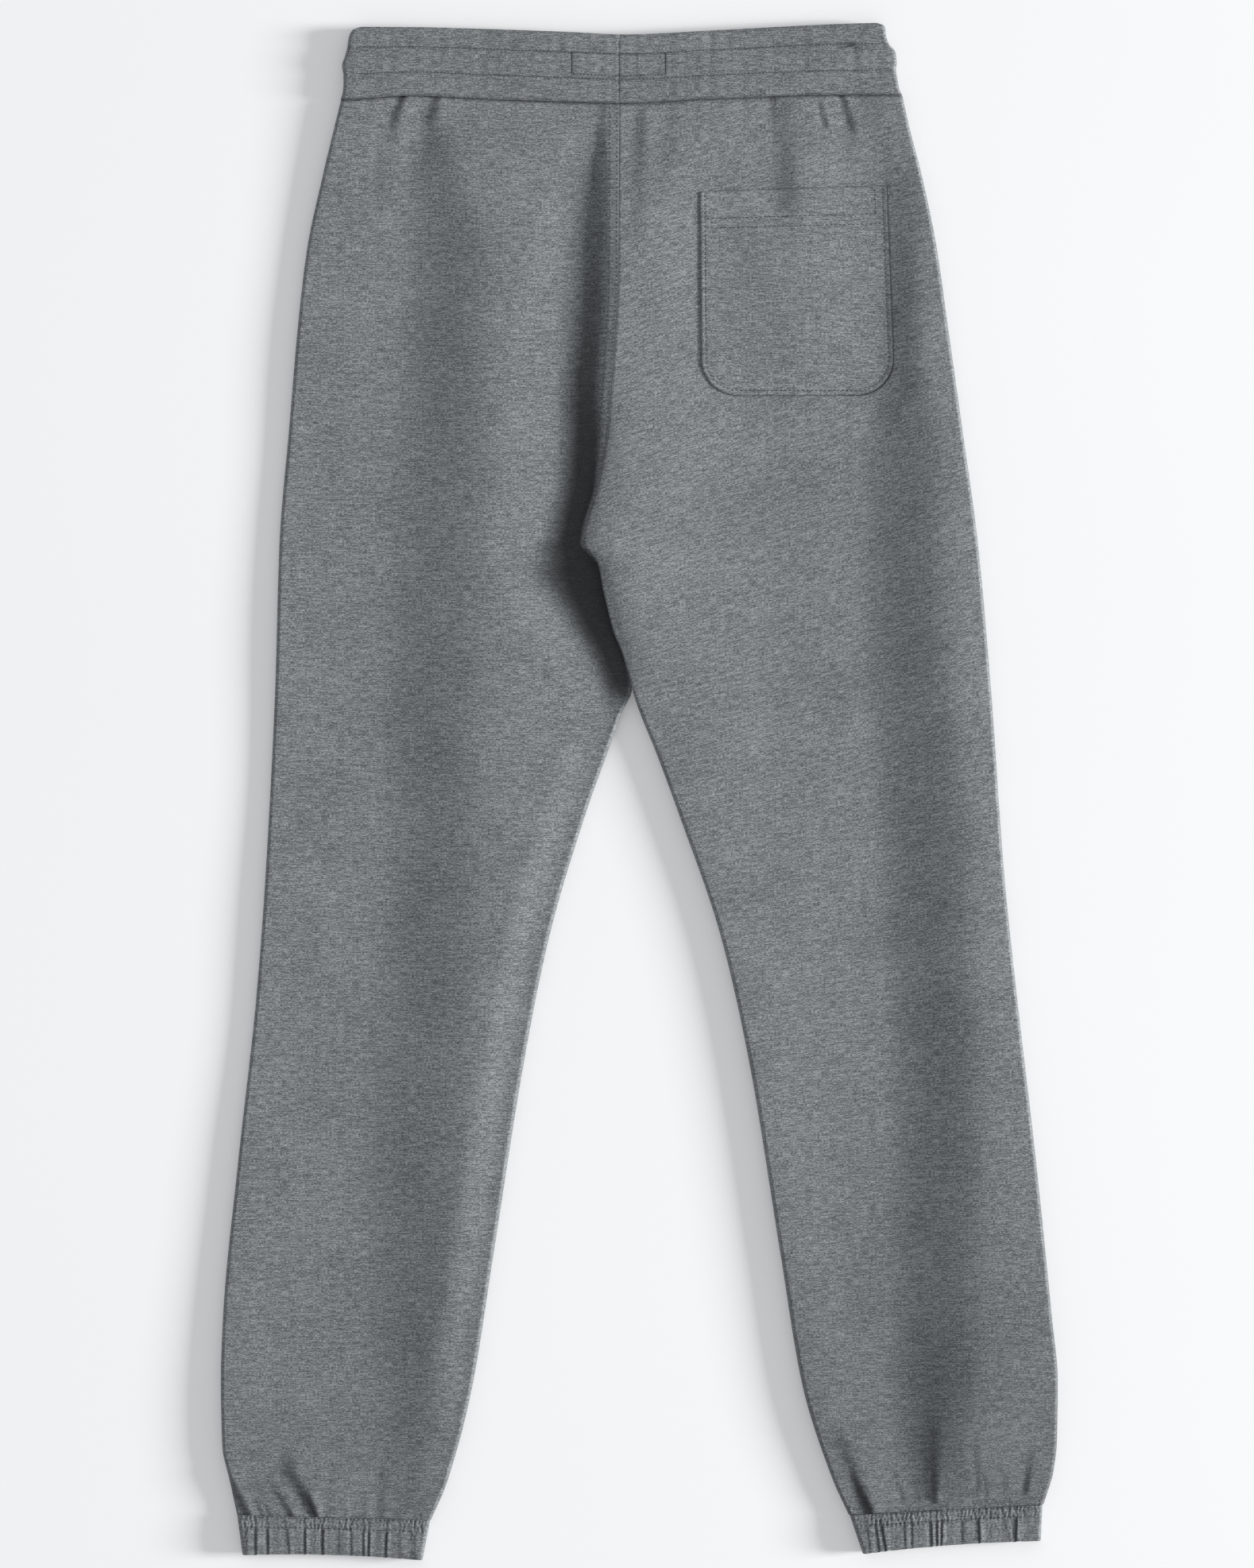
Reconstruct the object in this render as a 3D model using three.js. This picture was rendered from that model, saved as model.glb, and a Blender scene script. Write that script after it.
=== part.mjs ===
// Jogger sweatpants laid flat on a surface with the back up, in millimetres.
// +X points to the wearer's right, +Y points to the waist, +Z points up and the surface is z = 0.
// The origin is the middle of the laid-out outline, on the surface.
import * as THREE from 'three';

// Driving sizes
const CLOTH = 2.2;             // thickness of the brushed sweatshirt jersey
const BAND_WALL = 3;           // the waistband: jersey folded double over its elastic
const CUFF_WALL = 2.6;         // the hem at the ankle, folded over its elastic
const SEAM_GAP = 0.3;          // space between two pieces at a seam
const POCKET_GAP = 0.5;        // space between the patch pocket and the cloth below it
const WAIST_SEAM = 470;        // y of the seam between waistband and legs
const LEG_LENGTH = 961;        // from the waist seam to the ankle seam
const LAID_TOP = 8.8;          // usual height of the upper layer's outer face
const FOLD_HEIGHT = 4;         // height of the side seams and inseams, half way up the fold
const FOLD_WIDTH = 7;          // how far a folded side reaches in before the cloth lies level
const POCKET_RADIUS = 25;      // rounded lower corners of the patch pocket
const POCKET_HEIGHT = 138.5;
const FRONT_DIP = 4;           // how far the front of the waist lies below the back, at its middle
const HALF_GAP = SEAM_GAP / 2;
const LOWEST_TOP = 2 * CLOTH + SEAM_GAP;   // the upper layer pressed onto the lower one

// Mesh density
const FOLD_STEPS = 3;          // steps round a quarter of a folded side
const BACK_COLUMNS = 22;       // level columns across an upper leg panel
const HOLLOW_CROWDING = 1.5;   // how much the left panel's columns crowd towards the hollow
const FRONT_COLUMNS = 3;
const POCKET_COLUMNS = 13;
const BAND_COLUMNS = 13;       // level columns across each half of the waistband's upper side
const CUFF_COLUMNS = 40;       // level columns across a cuff's upper side
const UNDER_COLUMNS = 8;       // level columns across the underside of a band or cuff
const PANEL_ROWS = [
  { from: 0, to: 60, rows: 4 },
  { from: 60, to: 260, rows: 8 },
  { from: 260, to: 300, rows: 3 },
  { from: 300, to: 400, rows: 5 },
  { from: 400, to: 430, rows: 2 },
  { from: 430, to: 840, rows: 8 },
  { from: 840, to: LEG_LENGTH, rows: 8 },
];

// Side seams: x of the folded outer edge on the left and the right, below the waist seam
const SIDES = [
  { below: 0, left: -201, right: 179.8 },
  { below: 18, left: -205.5, right: 184 },
  { below: 51, left: -213.5, right: 193.1 },
  { below: 99, left: -223.8, right: 203.1 },
  { below: 148, left: -229.8, right: 210.1 },
  { below: 223, left: -236.3, right: 220.6 },
  { below: 300, left: -242.8, right: 231.1 },
  { below: 400, left: -245.8, right: 240.1 },
  { below: 526, left: -252.3, right: 249.1 },
  { below: 612, left: -258.8, right: 258.1 },
  { below: 720, left: -270.8, right: 270.6 },
  { below: 828, left: -281.3, right: 281.6 },
  { below: 872, left: -282.8, right: 285.6 },
  { below: 915, left: -281.8, right: 285.1 },
  { below: 938, left: -276.8, right: 282.8 },
  { below: LEG_LENGTH, left: -271.8, right: 276.1 },
];

// Middle seams: one seam down to the fork, then the two inseams that part from it.
// The right leg lies over the left one by lap between the crotch and the fork.
const MIDDLE = [
  { below: 0, left: -13, right: -13, lap: 0 },
  { below: 120, left: -13.5, right: -13.5, lap: 0 },
  { below: 175, left: -16.5, right: -16.5, lap: 0 },
  { below: 223, left: -20.5, right: -20.5, lap: 0 },
  { below: 262, left: -27.5, right: -27.5, lap: 0 },
  { below: 300, left: -37, right: -37, lap: 0 },
  { below: 315, left: -25, right: -25, lap: 2.5 },
  { below: 337, left: -19, right: -19, lap: 4 },
  { below: 359, left: -13.5, right: -13.5, lap: 4 },
  { below: 380, left: -6.5, right: -6.5, lap: 3 },
  { below: 400, left: -4, right: -4, lap: 0 },
  { below: 416, left: -11, right: 2.5, lap: 0 },
  { below: 440, left: -19.5, right: 12.3, lap: 0 },
  { below: 483, left: -35, right: 28.3, lap: 0 },
  { below: 569, left: -60.5, right: 57.8, lap: 0 },
  { below: 656, left: -78, right: 77.3, lap: 0 },
  { below: 785, left: -98.4, right: 98.3, lap: 0 },
  { below: 872, left: -112.4, right: 112.8, lap: 0 },
  { below: 936, left: -129.9, right: 133.3, lap: 0 },
  { below: LEG_LENGTH, left: -139.4, right: 143.8, lap: 0 },
];
const FORK = 400;              // how far below the waist seam the two legs part
const FORK_FOLD = 26;          // length below the fork in which the inseams turn under
const WAIST_EASE = 60;         // length in which the panel's rows take up the curve of the waist
const ANKLE_EASE = 120;        // length in which they take up the slant of the cuff

// The waistband's lower seam and top edge, above the nominal waist seam, across its width
const WAIST_EDGES = [
  { x: -193, seam: 0.8, top: 50.2 },
  { x: -155, seam: 3.2, top: 50 },
  { x: -103, seam: 0.8, top: 48.7 },
  { x: -45, seam: -1, top: 46.6 },
  { x: -10, seam: -2, top: 45 },
  { x: 52, seam: 1.2, top: 47.8 },
  { x: 139, seam: 3.8, top: 52.2 },
  { x: 177, seam: 3.8, top: 53.2 },
];

// The waistband's folded ends and its swell between the rows of sewing, going up
const BAND_SECTIONS = [
  { up: 0, left: -200.5, right: 179.5, swell: 0 },
  { up: 0.1, left: -199, right: 177.5, swell: 0.8 },
  { up: 0.22, left: -198.5, right: 176.5, swell: 0.8 },
  { up: 0.34, left: -198.5, right: 175.5, swell: 0 },
  { up: 0.46, left: -199.5, right: 176, swell: 0.9 },
  { up: 0.6, left: -197.5, right: 175, swell: 0.9 },
  { up: 0.71, left: -196, right: 170.5, swell: 0 },
  { up: 0.85, left: -194.5, right: 168, swell: 0.8 },
  { up: 1, left: -190, right: 166, swell: -0.6 },
];
const BAND_TOP = 9.4;          // height of the waistband at its rows of sewing
const BAND_FOLD_HEIGHT = 4.8;

// The long soft rise down the upper layer of each leg: x of its middle, half its width, how far the
// cloth lies below its usual height left of it and above it right of it, and how far these reach
const RISES = {
  left: [
    { below: 0, x: -136, half: 16, low: 0.4, high: 0.4, reachLeft: 50, reachRight: 40 },
    { below: 30, x: -137, half: 18, low: 1.6, high: 1.2, reachLeft: 60, reachRight: 40 },
    { below: 110, x: -131, half: 32, low: 3.6, high: 3, reachLeft: 80, reachRight: 40 },
    { below: 267, x: -138, half: 36, low: 3.9, high: 3.6, reachLeft: 80, reachRight: 44 },
    { below: 420, x: -142, half: 36, low: 3.9, high: 3.8, reachLeft: 90, reachRight: 60 },
    { below: 526, x: -142, half: 38, low: 3.9, high: 3.8, reachLeft: 90, reachRight: 160 },
    { below: 688, x: -150, half: 40, low: 3.9, high: 3.8, reachLeft: 90, reachRight: 200 },
    { below: 850, x: -148, half: 38, low: 3.7, high: 3.4, reachLeft: 80, reachRight: 160 },
    { below: 920, x: -150, half: 30, low: 2, high: 1.8, reachLeft: 50, reachRight: 60 },
    { below: LEG_LENGTH, x: -151, half: 20, low: 0.4, high: 0.3, reachLeft: 40, reachRight: 30 },
  ],
  right: [
    { below: 0, x: 160, half: 20, low: 0.4, high: 0.3, reachLeft: 60, reachRight: 30 },
    { below: 60, x: 176, half: 24, low: 2, high: 1.4, reachLeft: 70, reachRight: 30 },
    { below: 110, x: 176, half: 28, low: 3.2, high: 2.6, reachLeft: 80, reachRight: 30 },
    { below: 191, x: 181, half: 30, low: 3.8, high: 4, reachLeft: 90, reachRight: 40 },
    { below: 364, x: 183, half: 32, low: 3.9, high: 5.2, reachLeft: 110, reachRight: 44 },
    { below: 526, x: 197, half: 34, low: 3.9, high: 5.4, reachLeft: 110, reachRight: 50 },
    { below: 688, x: 203, half: 34, low: 3.9, high: 6, reachLeft: 110, reachRight: 80 },
    { below: 850, x: 201, half: 34, low: 3.9, high: 5.8, reachLeft: 100, reachRight: 80 },
    { below: 920, x: 200, half: 26, low: 2.4, high: 2.6, reachLeft: 60, reachRight: 40 },
    { below: LEG_LENGTH, x: 198, half: 18, low: 0.4, high: 0.3, reachLeft: 40, reachRight: 30 },
  ],
};

// The hollow left of the middle seam and the ridge on its right. edge and ridge are the heights of the
// left and right panels at the seam; strip is a narrow band that slopes a little away from the seam,
// fall is the steep side down to the floor, flat is the floor's width and back the slow side up again.
const HOLLOW = [
  { below: 0, edge: 9, ridge: 9.1, floor: 8.5, strip: 6.5, slope: 0.02, fall: 10, flat: 0, back: 20 },
  { below: 29, edge: 10.4, ridge: 10.5, floor: 7.8, strip: 8.5, slope: 0.03, fall: 6, flat: 0, back: 24 },
  { below: 72, edge: 12, ridge: 12.1, floor: 6.6, strip: 8, slope: 0.08, fall: 6, flat: 3, back: 36 },
  { below: 110, edge: 13, ridge: 13.2, floor: 6.3, strip: 6.5, slope: 0.15, fall: 8, flat: 4, back: 48 },
  { below: 191, edge: 13.6, ridge: 13.8, floor: 6.3, strip: 5, slope: 0.2, fall: 9, flat: 7, back: 56 },
  { below: 240, edge: 12.8, ridge: 13, floor: 6.2, strip: 2.5, slope: 0.2, fall: 7, flat: 8, back: 56 },
  { below: 267, edge: 11.6, ridge: 11.8, floor: 6.2, strip: 0.4, slope: 0.2, fall: 3.5, flat: 11, back: 56 },
  { below: 296, edge: 11, ridge: 11.4, floor: 6.2, strip: 0.3, slope: 0.2, fall: 3.5, flat: 7, back: 56 },
  { below: 304, edge: 6.2, ridge: 12.2, floor: 6.2, strip: 0, slope: 0, fall: 4, flat: 10, back: 56 },
  { below: 321, edge: 6.2, ridge: 14.8, floor: 6.2, strip: 0, slope: 0, fall: 4, flat: 25, back: 56 },
  { below: 342, edge: 6.2, ridge: 13.6, floor: 6.2, strip: 0, slope: 0, fall: 4, flat: 20, back: 50 },
  { below: 364, edge: 6.2, ridge: 11.6, floor: 6.2, strip: 0, slope: 0, fall: 4, flat: 15, back: 44 },
  { below: 396, edge: 6.2, ridge: 10.4, floor: 6.2, strip: 0, slope: 0, fall: 4, flat: 9, back: 36 },
  { below: 425, edge: 8.8, ridge: 9.2, floor: 8.2, strip: 0, slope: 0, fall: 6, flat: 0, back: 26 },
  { below: 450, edge: 8.8, ridge: 8.8, floor: 8.8, strip: 0, slope: 0, fall: 6, flat: 0, back: 26 },
];
const RIDGE_REACH = 50;

// How much thinner the right leg lies along its inseam
const THIN = [
  { below: 440, depth: 0 },
  { below: 560, depth: 1.4 },
  { below: 700, depth: 3.4 },
  { below: 900, depth: 3.8 },
  { below: LEG_LENGTH, depth: 1.5 },
];
const THIN_REACH = 48;

// Short folds of the upper layer, from one end to the other, below the waist seam:
// gathers under the waistband and gathers over the cuffs
const FOLDS = [
  { x0: -159, below0: -4, x1: -166, below1: 18, width: 6, depth: 1.6 },
  { x0: -137, below0: -4, x1: -140, below1: 14, width: 6, depth: 1.2 },
  { x0: 99, below0: -4, x1: 99, below1: 46, width: 8, depth: 1.3 },
  { x0: 125, below0: 2, x1: 128, below1: 19, width: 5, depth: 0.9 },
  { x0: 138, below0: -4, x1: 146, below1: 22, width: 6, depth: 1.6 },
  { x0: -3, below0: 10, x1: -3, below1: 84, width: 7, depth: 0.9 },
  { x0: -236, below0: 925, x1: -220, below1: 966, width: 6, depth: 1.8 },
  { x0: -248, below0: 940, x1: -237, below1: 966, width: 5, depth: 1.3 },
  { x0: -196, below0: 890, x1: -194, below1: 966, width: 6, depth: 1.3 },
  { x0: -176, below0: 938, x1: -176, below1: 966, width: 5, depth: 1.1 },
  { x0: -158, below0: 930, x1: -160, below1: 966, width: 5, depth: 1.1 },
  { x0: 139, below0: 920, x1: 155, below1: 962, width: 6, depth: 1.7 },
  { x0: 173, below0: 934, x1: 180, below1: 962, width: 5, depth: 1.2 },
  { x0: 200, below0: 900, x1: 203, below1: 962, width: 7, depth: 2.1 },
  { x0: 229, below0: 918, x1: 233, below1: 950, width: 5, depth: 1.1 },
  { x0: 268, below0: 926, x1: 263, below1: 956, width: 5, depth: 1.3 },
];

// Cuffs: the corners of each one's upper outline, the rise of its hem's middle and the pleats across it
const CUFFS = [
  {
    name: 'cuff_left',
    top: { x0: -271.8, y0: -491.5, x1: -141.4, y1: -495 },
    hem: { x0: -268.3, y0: -518.2, x1: -146.6, y1: -521.8 },
    bow: 2,
    pleats: [-259.5, -251, -237, -226, -214, -203.5, -194.5, -185, -170, -161, -152.5],
  },
  {
    name: 'cuff_right',
    top: { x0: 145, y0: -491.5, x1: 275.1, y1: -484.5 },
    hem: { x0: 153.6, y0: -517.5, x1: 274, y1: -508.6 },
    bow: 1.8,
    pleats: [157, 165, 173, 181, 187.5, 199, 205.5, 220.5, 232, 243, 255.5, 265],
  },
];
const CUFF_TOP = 8.8;
const CUFF_FOLD_HEIGHT = 4.4;
const PLEAT_DEPTH = 1.3;
const PLEAT_WIDTH = 2.6;
const CUFF_ROWS = [
  { down: 0, swell: -0.8 },
  { down: 0.3, swell: -0.3 },
  { down: 0.62, swell: 0.4 },
  { down: 0.9, swell: 0.2 },
  { down: 1, swell: -0.5 },
];

// Patch pocket on the right seat: its side edges, below the waist seam
const POCKET = { below: 62, topLeft: 42, topRight: 169.5, lowLeft: 43, lowRight: 175, tilt: 4.3 };
const POCKET_ROWS = 7;
const CORNER_ROWS = 5;

const COLOURS = {
  leg: new THREE.Color(0x737779),
  band: new THREE.Color(0x707476),
  pocket: new THREE.Color(0x7a7d7f),
  cuff: new THREE.Color(0x6e7274),
};

// A value of one table column at a place, by a monotone cubic through the rows
function lookUp(table, key, column, place) {
  const last = table.length - 1;
  const at = Math.min(Math.max(place, table[0][key]), table[last][key]);
  let row = 0;
  while (row < last - 1 && at > table[row + 1][key]) row += 1;
  const slopeOf = (a) => (table[a + 1][column] - table[a][column]) / (table[a + 1][key] - table[a][key]);
  const slopeAt = (a) => {
    if (a === 0) return slopeOf(0);
    if (a === last) return slopeOf(last - 1);
    const before = slopeOf(a - 1);
    const after = slopeOf(a);
    return before * after <= 0 ? 0 : (2 * before * after) / (before + after);
  };
  const span = table[row + 1][key] - table[row][key];
  const t = (at - table[row][key]) / span;
  const t2 = t * t;
  const t3 = t2 * t;
  return (2 * t3 - 3 * t2 + 1) * table[row][column]
    + (t3 - 2 * t2 + t) * span * slopeAt(row)
    + (3 * t2 - 2 * t3) * table[row + 1][column]
    + (t3 - t2) * span * slopeAt(row + 1);
}

const mix = (a, b, t) => a + (b - a) * t;
const bell = (distance, width) => Math.exp(-((distance / width) ** 2));

// Smooth step from 0 at a to 1 at b
function ease(a, b, value) {
  const t = Math.min(Math.max((value - a) / (b - a), 0), 1);
  return t * t * (3 - 2 * t);
}

// The depth of one fold at a point: a trough with a bell section that fades beyond its ends
function foldDepth(fold, x, below) {
  const runX = fold.x1 - fold.x0;
  const runY = fold.below1 - fold.below0;
  const length = Math.hypot(runX, runY);
  const along = ((x - fold.x0) * runX + (below - fold.below0) * runY) / length;
  const across = ((x - fold.x0) * runY - (below - fold.below0) * runX) / length;
  const beyond = Math.max(-along, along - length, 0);
  return fold.depth * bell(across, fold.width) * bell(beyond, fold.width);
}

// Height of a leg's upper layer by its long rise alone, thinner along the right leg's inseam
function legForm(x, below, side) {
  const rise = (column) => lookUp(RISES[side], 'below', column, below);
  const half = rise('half');
  const across = x - rise('x');
  const up = ease(-half, half, across);
  const low = rise('low') * (1 - up) * bell(Math.max(-half - across, 0), rise('reachLeft'));
  const high = rise('high') * up * bell(Math.max(across - half, 0), rise('reachRight'));
  if (side === 'left') return LAID_TOP - low + high;
  const inseam = lookUp(MIDDLE, 'below', 'right', below);
  return LAID_TOP - low + high - lookUp(THIN, 'below', 'depth', below) * bell(x - inseam, THIN_REACH);
}

// Carries a leg's height up to the middle seam: on the left through the hollow beside it,
// on the right up to the ridge
function seatForm(x, below, side, top) {
  const hollow = (column) => lookUp(HOLLOW, 'below', column, below);
  const seam = lookUp(MIDDLE, 'below', side, below);
  if (side === 'right') return mix(top, hollow('ridge'), bell(Math.max(x - seam, 0), RIDGE_REACH));
  const away = seam - x;
  const strip = hollow('strip');
  const floorStart = strip + hollow('fall');
  const floorEnd = floorStart + hollow('flat');
  const edge = hollow('edge') - hollow('slope') * Math.min(Math.max(away, 0), strip);
  const down = mix(edge, hollow('floor'), ease(strip, floorStart, away));
  return mix(down, top, ease(floorEnd, floorEnd + hollow('back'), away));
}

// Height of the upper layer's outer face on the left or the right of the middle seam
function layerTop(x, below, side) {
  let top = seatForm(x, below, side, legForm(x, below, side));
  for (const fold of FOLDS) top -= foldDepth(fold, x, below);
  return Math.max(top, LOWEST_TOP);
}

// Stations across a piece from its left edge to its right one. A tuck of 1 folds that edge
// down (or up) to the fold height round a quarter of an ellipse, and a tuck of 0 leaves it level.
// Crowding brings the level ones closer together towards the right, and 1 leaves them even.
function stationsAcross(left, right, tuckLeft, tuckRight, columns, crowding = 1) {
  const stations = [];
  for (let i = 0; i < FOLD_STEPS; i += 1) {
    const angle = (i / FOLD_STEPS) * (Math.PI / 2);
    const x = left + FOLD_WIDTH * (1 - Math.cos(angle));
    stations.push({ x, inward: tuckLeft * Math.cos(angle), fold: tuckLeft * (1 - Math.sin(angle)) });
  }
  for (let i = 0; i <= columns; i += 1) {
    const share = 1 - (1 - i / columns) ** crowding;
    stations.push({ x: mix(left + FOLD_WIDTH, right - FOLD_WIDTH, share), inward: 0, fold: 0 });
  }
  for (let i = FOLD_STEPS - 1; i >= 0; i -= 1) {
    const angle = (i / FOLD_STEPS) * (Math.PI / 2);
    const x = right - FOLD_WIDTH * (1 - Math.cos(angle));
    stations.push({ x, inward: -tuckRight * Math.cos(angle), fold: tuckRight * (1 - Math.sin(angle)) });
  }
  return stations;
}

// A closed wall between an outer and an inner grid of points, each a list of rows.
// A wall that closes on itself joins its last column to its first.
function wallGeometry(outer, inner, closed = false) {
  const rows = outer.length;
  const columns = outer[0].length;
  const points = [...outer.flat(), ...inner.flat()];
  const inside = rows * columns;
  const at = (row, column) => row * columns + (column % columns);
  const index = [];
  const quad = (a, b, c, d) => index.push(a, b, c, a, c, d);
  const lastColumn = closed ? columns : columns - 1;
  for (let row = 0; row < rows - 1; row += 1) {
    for (let column = 0; column < lastColumn; column += 1) {
      const corners = [at(row, column), at(row, column + 1), at(row + 1, column + 1), at(row + 1, column)];
      quad(...corners);
      quad(...corners.reverse().map((corner) => corner + inside));
    }
    if (!closed) {
      quad(at(row, 0), at(row + 1, 0), at(row + 1, 0) + inside, at(row, 0) + inside);
      const end = columns - 1;
      quad(at(row + 1, end), at(row, end), at(row, end) + inside, at(row + 1, end) + inside);
    }
  }
  for (let column = 0; column < lastColumn; column += 1) {
    quad(at(0, column + 1), at(0, column), at(0, column) + inside, at(0, column + 1) + inside);
    const end = rows - 1;
    quad(at(end, column), at(end, column + 1), at(end, column + 1) + inside, at(end, column) + inside);
  }
  return outwardGeometry(points, index);
}

// A geometry whose faces point outwards: they are all turned over if its volume is negative
function outwardGeometry(points, index) {
  let volume = 0;
  const normal = new THREE.Vector3();
  for (let i = 0; i < index.length; i += 3) {
    normal.crossVectors(points[index[i + 1]], points[index[i + 2]]);
    volume += points[index[i]].dot(normal);
  }
  if (volume < 0) index.reverse();
  const geometry = new THREE.BufferGeometry().setFromPoints(points);
  geometry.setIndex(index);
  geometry.computeVertexNormals();
  return geometry;
}

function pieceMesh(name, geometry, colour) {
  const material = new THREE.MeshStandardMaterial({ color: colour, roughness: 0.92, metalness: 0 });
  const mesh = new THREE.Mesh(geometry, material);
  mesh.name = name;
  return mesh;
}

function panelRows() {
  const rows = [];
  for (const stretch of PANEL_ROWS) {
    for (let i = 0; i < stretch.rows; i += 1) rows.push(mix(stretch.from, stretch.to, i / stretch.rows));
  }
  rows.push(LEG_LENGTH);
  return rows;
}

// The waistband's lower seam or top edge at a place across: as the table says on the back. On the
// front underneath, the seam is straight from end to end and the top edge stays below the back's.
function waistEdge(edge, x, upper) {
  if (upper) return lookUp(WAIST_EDGES, 'x', edge, x);
  const left = WAIST_EDGES[0];
  const right = WAIST_EDGES[WAIST_EDGES.length - 1];
  const share = (x - left.x) / (right.x - left.x);
  if (edge === 'seam') return mix(left.seam, right.seam, share);
  return lookUp(WAIST_EDGES, 'x', 'top', x) - FRONT_DIP * 4 * share * (1 - share);
}

// y of a point of a leg: its top row follows the waistband's seam and its last one the cuff's top
function legY(x, below, cuff, upper) {
  const waist = (waistEdge('seam', x, upper) - HALF_GAP) * (1 - ease(0, WAIST_EASE, below));
  const edge = mix(cuff.top.y0, cuff.top.y1, (x - cuff.top.x0) / (cuff.top.x1 - cuff.top.x0)) + HALF_GAP;
  const slant = (edge - (WAIST_SEAM - LEG_LENGTH)) * ease(LEG_LENGTH - ANKLE_EASE, LEG_LENGTH, below);
  return WAIST_SEAM - below + waist + slant;
}

// One leg panel with its half of the seat or of the front, as a wall through its sections.
// upper is the back panel that lies on top, and otherwise it is the front panel underneath.
function legPanel(side, upper) {
  const cuff = side === 'left' ? CUFFS[0] : CUFFS[1];
  const outer = [];
  const inner = [];
  for (const below of panelRows()) {
    const lap = upper && side === 'right' ? lookUp(MIDDLE, 'below', 'lap', below) : 0;
    const sideEdge = lookUp(SIDES, 'below', side, below);
    const middleEdge = lookUp(MIDDLE, 'below', side, below);
    const tuck = ease(FORK, FORK + FORK_FOLD, below);
    const columns = upper ? BACK_COLUMNS : FRONT_COLUMNS;
    const stations = side === 'left'
      ? stationsAcross(sideEdge, middleEdge - HALF_GAP, 1, tuck, columns, upper ? HOLLOW_CROWDING : 1)
      : stationsAcross(middleEdge + HALF_GAP - lap, sideEdge, tuck, 1, columns);
    const outerRow = [];
    const innerRow = [];
    for (const station of stations) {
      const y = legY(station.x, below, cuff, upper);
      const outerFace = upper ? layerTop(station.x, below, side) : 0;
      const innerFace = upper ? outerFace - CLOTH : CLOTH;
      const seam = upper ? FOLD_HEIGHT + HALF_GAP : FOLD_HEIGHT - HALF_GAP;
      outerRow.push(new THREE.Vector3(station.x, y, mix(outerFace, seam, station.fold)));
      const innerX = station.x + station.inward * CLOTH;
      innerRow.push(new THREE.Vector3(innerX, y, mix(innerFace, seam, station.fold)));
    }
    outer.push(outerRow);
    inner.push(innerRow);
  }
  return wallGeometry(outer, inner);
}

// The waistband: one strip round the waist with its seam at the centre of the back,
// swollen between its rows of sewing and flat underneath
function waistband() {
  const outer = [];
  const inner = [];
  const seamX = MIDDLE[0].left;
  for (const section of BAND_SECTIONS) {
    const left = stationsAcross(section.left, seamX - HALF_GAP, 1, 0, BAND_COLUMNS);
    const right = stationsAcross(seamX + HALF_GAP, section.right, 0, 1, BAND_COLUMNS);
    const under = stationsAcross(section.left, section.right, 1, 1, UNDER_COLUMNS).slice(1, -1);
    const around = [
      ...right.map((station) => ({ ...station, upper: true })),
      ...under.reverse().map((station) => ({ ...station, upper: false })),
      ...left.map((station) => ({ ...station, upper: true })),
    ];
    const outerRow = [];
    const innerRow = [];
    for (const station of around) {
      const seam = waistEdge('seam', station.x, station.upper) + HALF_GAP;
      const y = WAIST_SEAM + mix(seam, waistEdge('top', station.x, station.upper), section.up);
      const outerFace = station.upper ? BAND_TOP + section.swell : 0;
      const innerFace = station.upper ? BAND_TOP - BAND_WALL : BAND_WALL;
      outerRow.push(new THREE.Vector3(station.x, y, mix(outerFace, BAND_FOLD_HEIGHT, station.fold)));
      innerRow.push(new THREE.Vector3(
        station.x + station.inward * BAND_WALL, y, mix(innerFace, BAND_FOLD_HEIGHT, station.fold)));
    }
    outer.push(outerRow);
    inner.push(innerRow);
  }
  return wallGeometry(outer, inner);
}

// A cuff: a flattened tube, pleated on top by the pull of its elastic and flat underneath
function cuffTube(cuff) {
  const outer = [];
  const inner = [];
  for (const row of CUFF_ROWS) {
    const left = mix(cuff.top.x0, cuff.hem.x0, row.down);
    const right = mix(cuff.top.x1, cuff.hem.x1, row.down);
    const yLeft = mix(cuff.top.y0, cuff.hem.y0, row.down) - HALF_GAP * (1 - row.down);
    const yRight = mix(cuff.top.y1, cuff.hem.y1, row.down) - HALF_GAP * (1 - row.down);
    const over = stationsAcross(left, right, 1, 1, CUFF_COLUMNS);
    const under = stationsAcross(left, right, 1, 1, UNDER_COLUMNS).slice(1, -1);
    const around = [
      ...over.map((station) => ({ ...station, upper: true })),
      ...under.reverse().map((station) => ({ ...station, upper: false })),
    ];
    const outerRow = [];
    const innerRow = [];
    for (const station of around) {
      const share = (station.x - left) / (right - left);
      const y = mix(yLeft, yRight, share) + cuff.bow * row.down * 4 * share * (1 - share);
      let pleat = 0;
      for (const x of cuff.pleats) pleat += PLEAT_DEPTH * bell(station.x - x, PLEAT_WIDTH);
      const outerFace = station.upper ? CUFF_TOP + row.swell - pleat : 0;
      const innerFace = station.upper ? CUFF_TOP - CUFF_WALL : CUFF_WALL;
      outerRow.push(new THREE.Vector3(station.x, y, mix(outerFace, CUFF_FOLD_HEIGHT, station.fold)));
      innerRow.push(new THREE.Vector3(
        station.x + station.inward * CUFF_WALL, y, mix(innerFace, CUFF_FOLD_HEIGHT, station.fold)));
    }
    outer.push(outerRow);
    inner.push(innerRow);
  }
  return wallGeometry(outer, inner, true);
}

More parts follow.
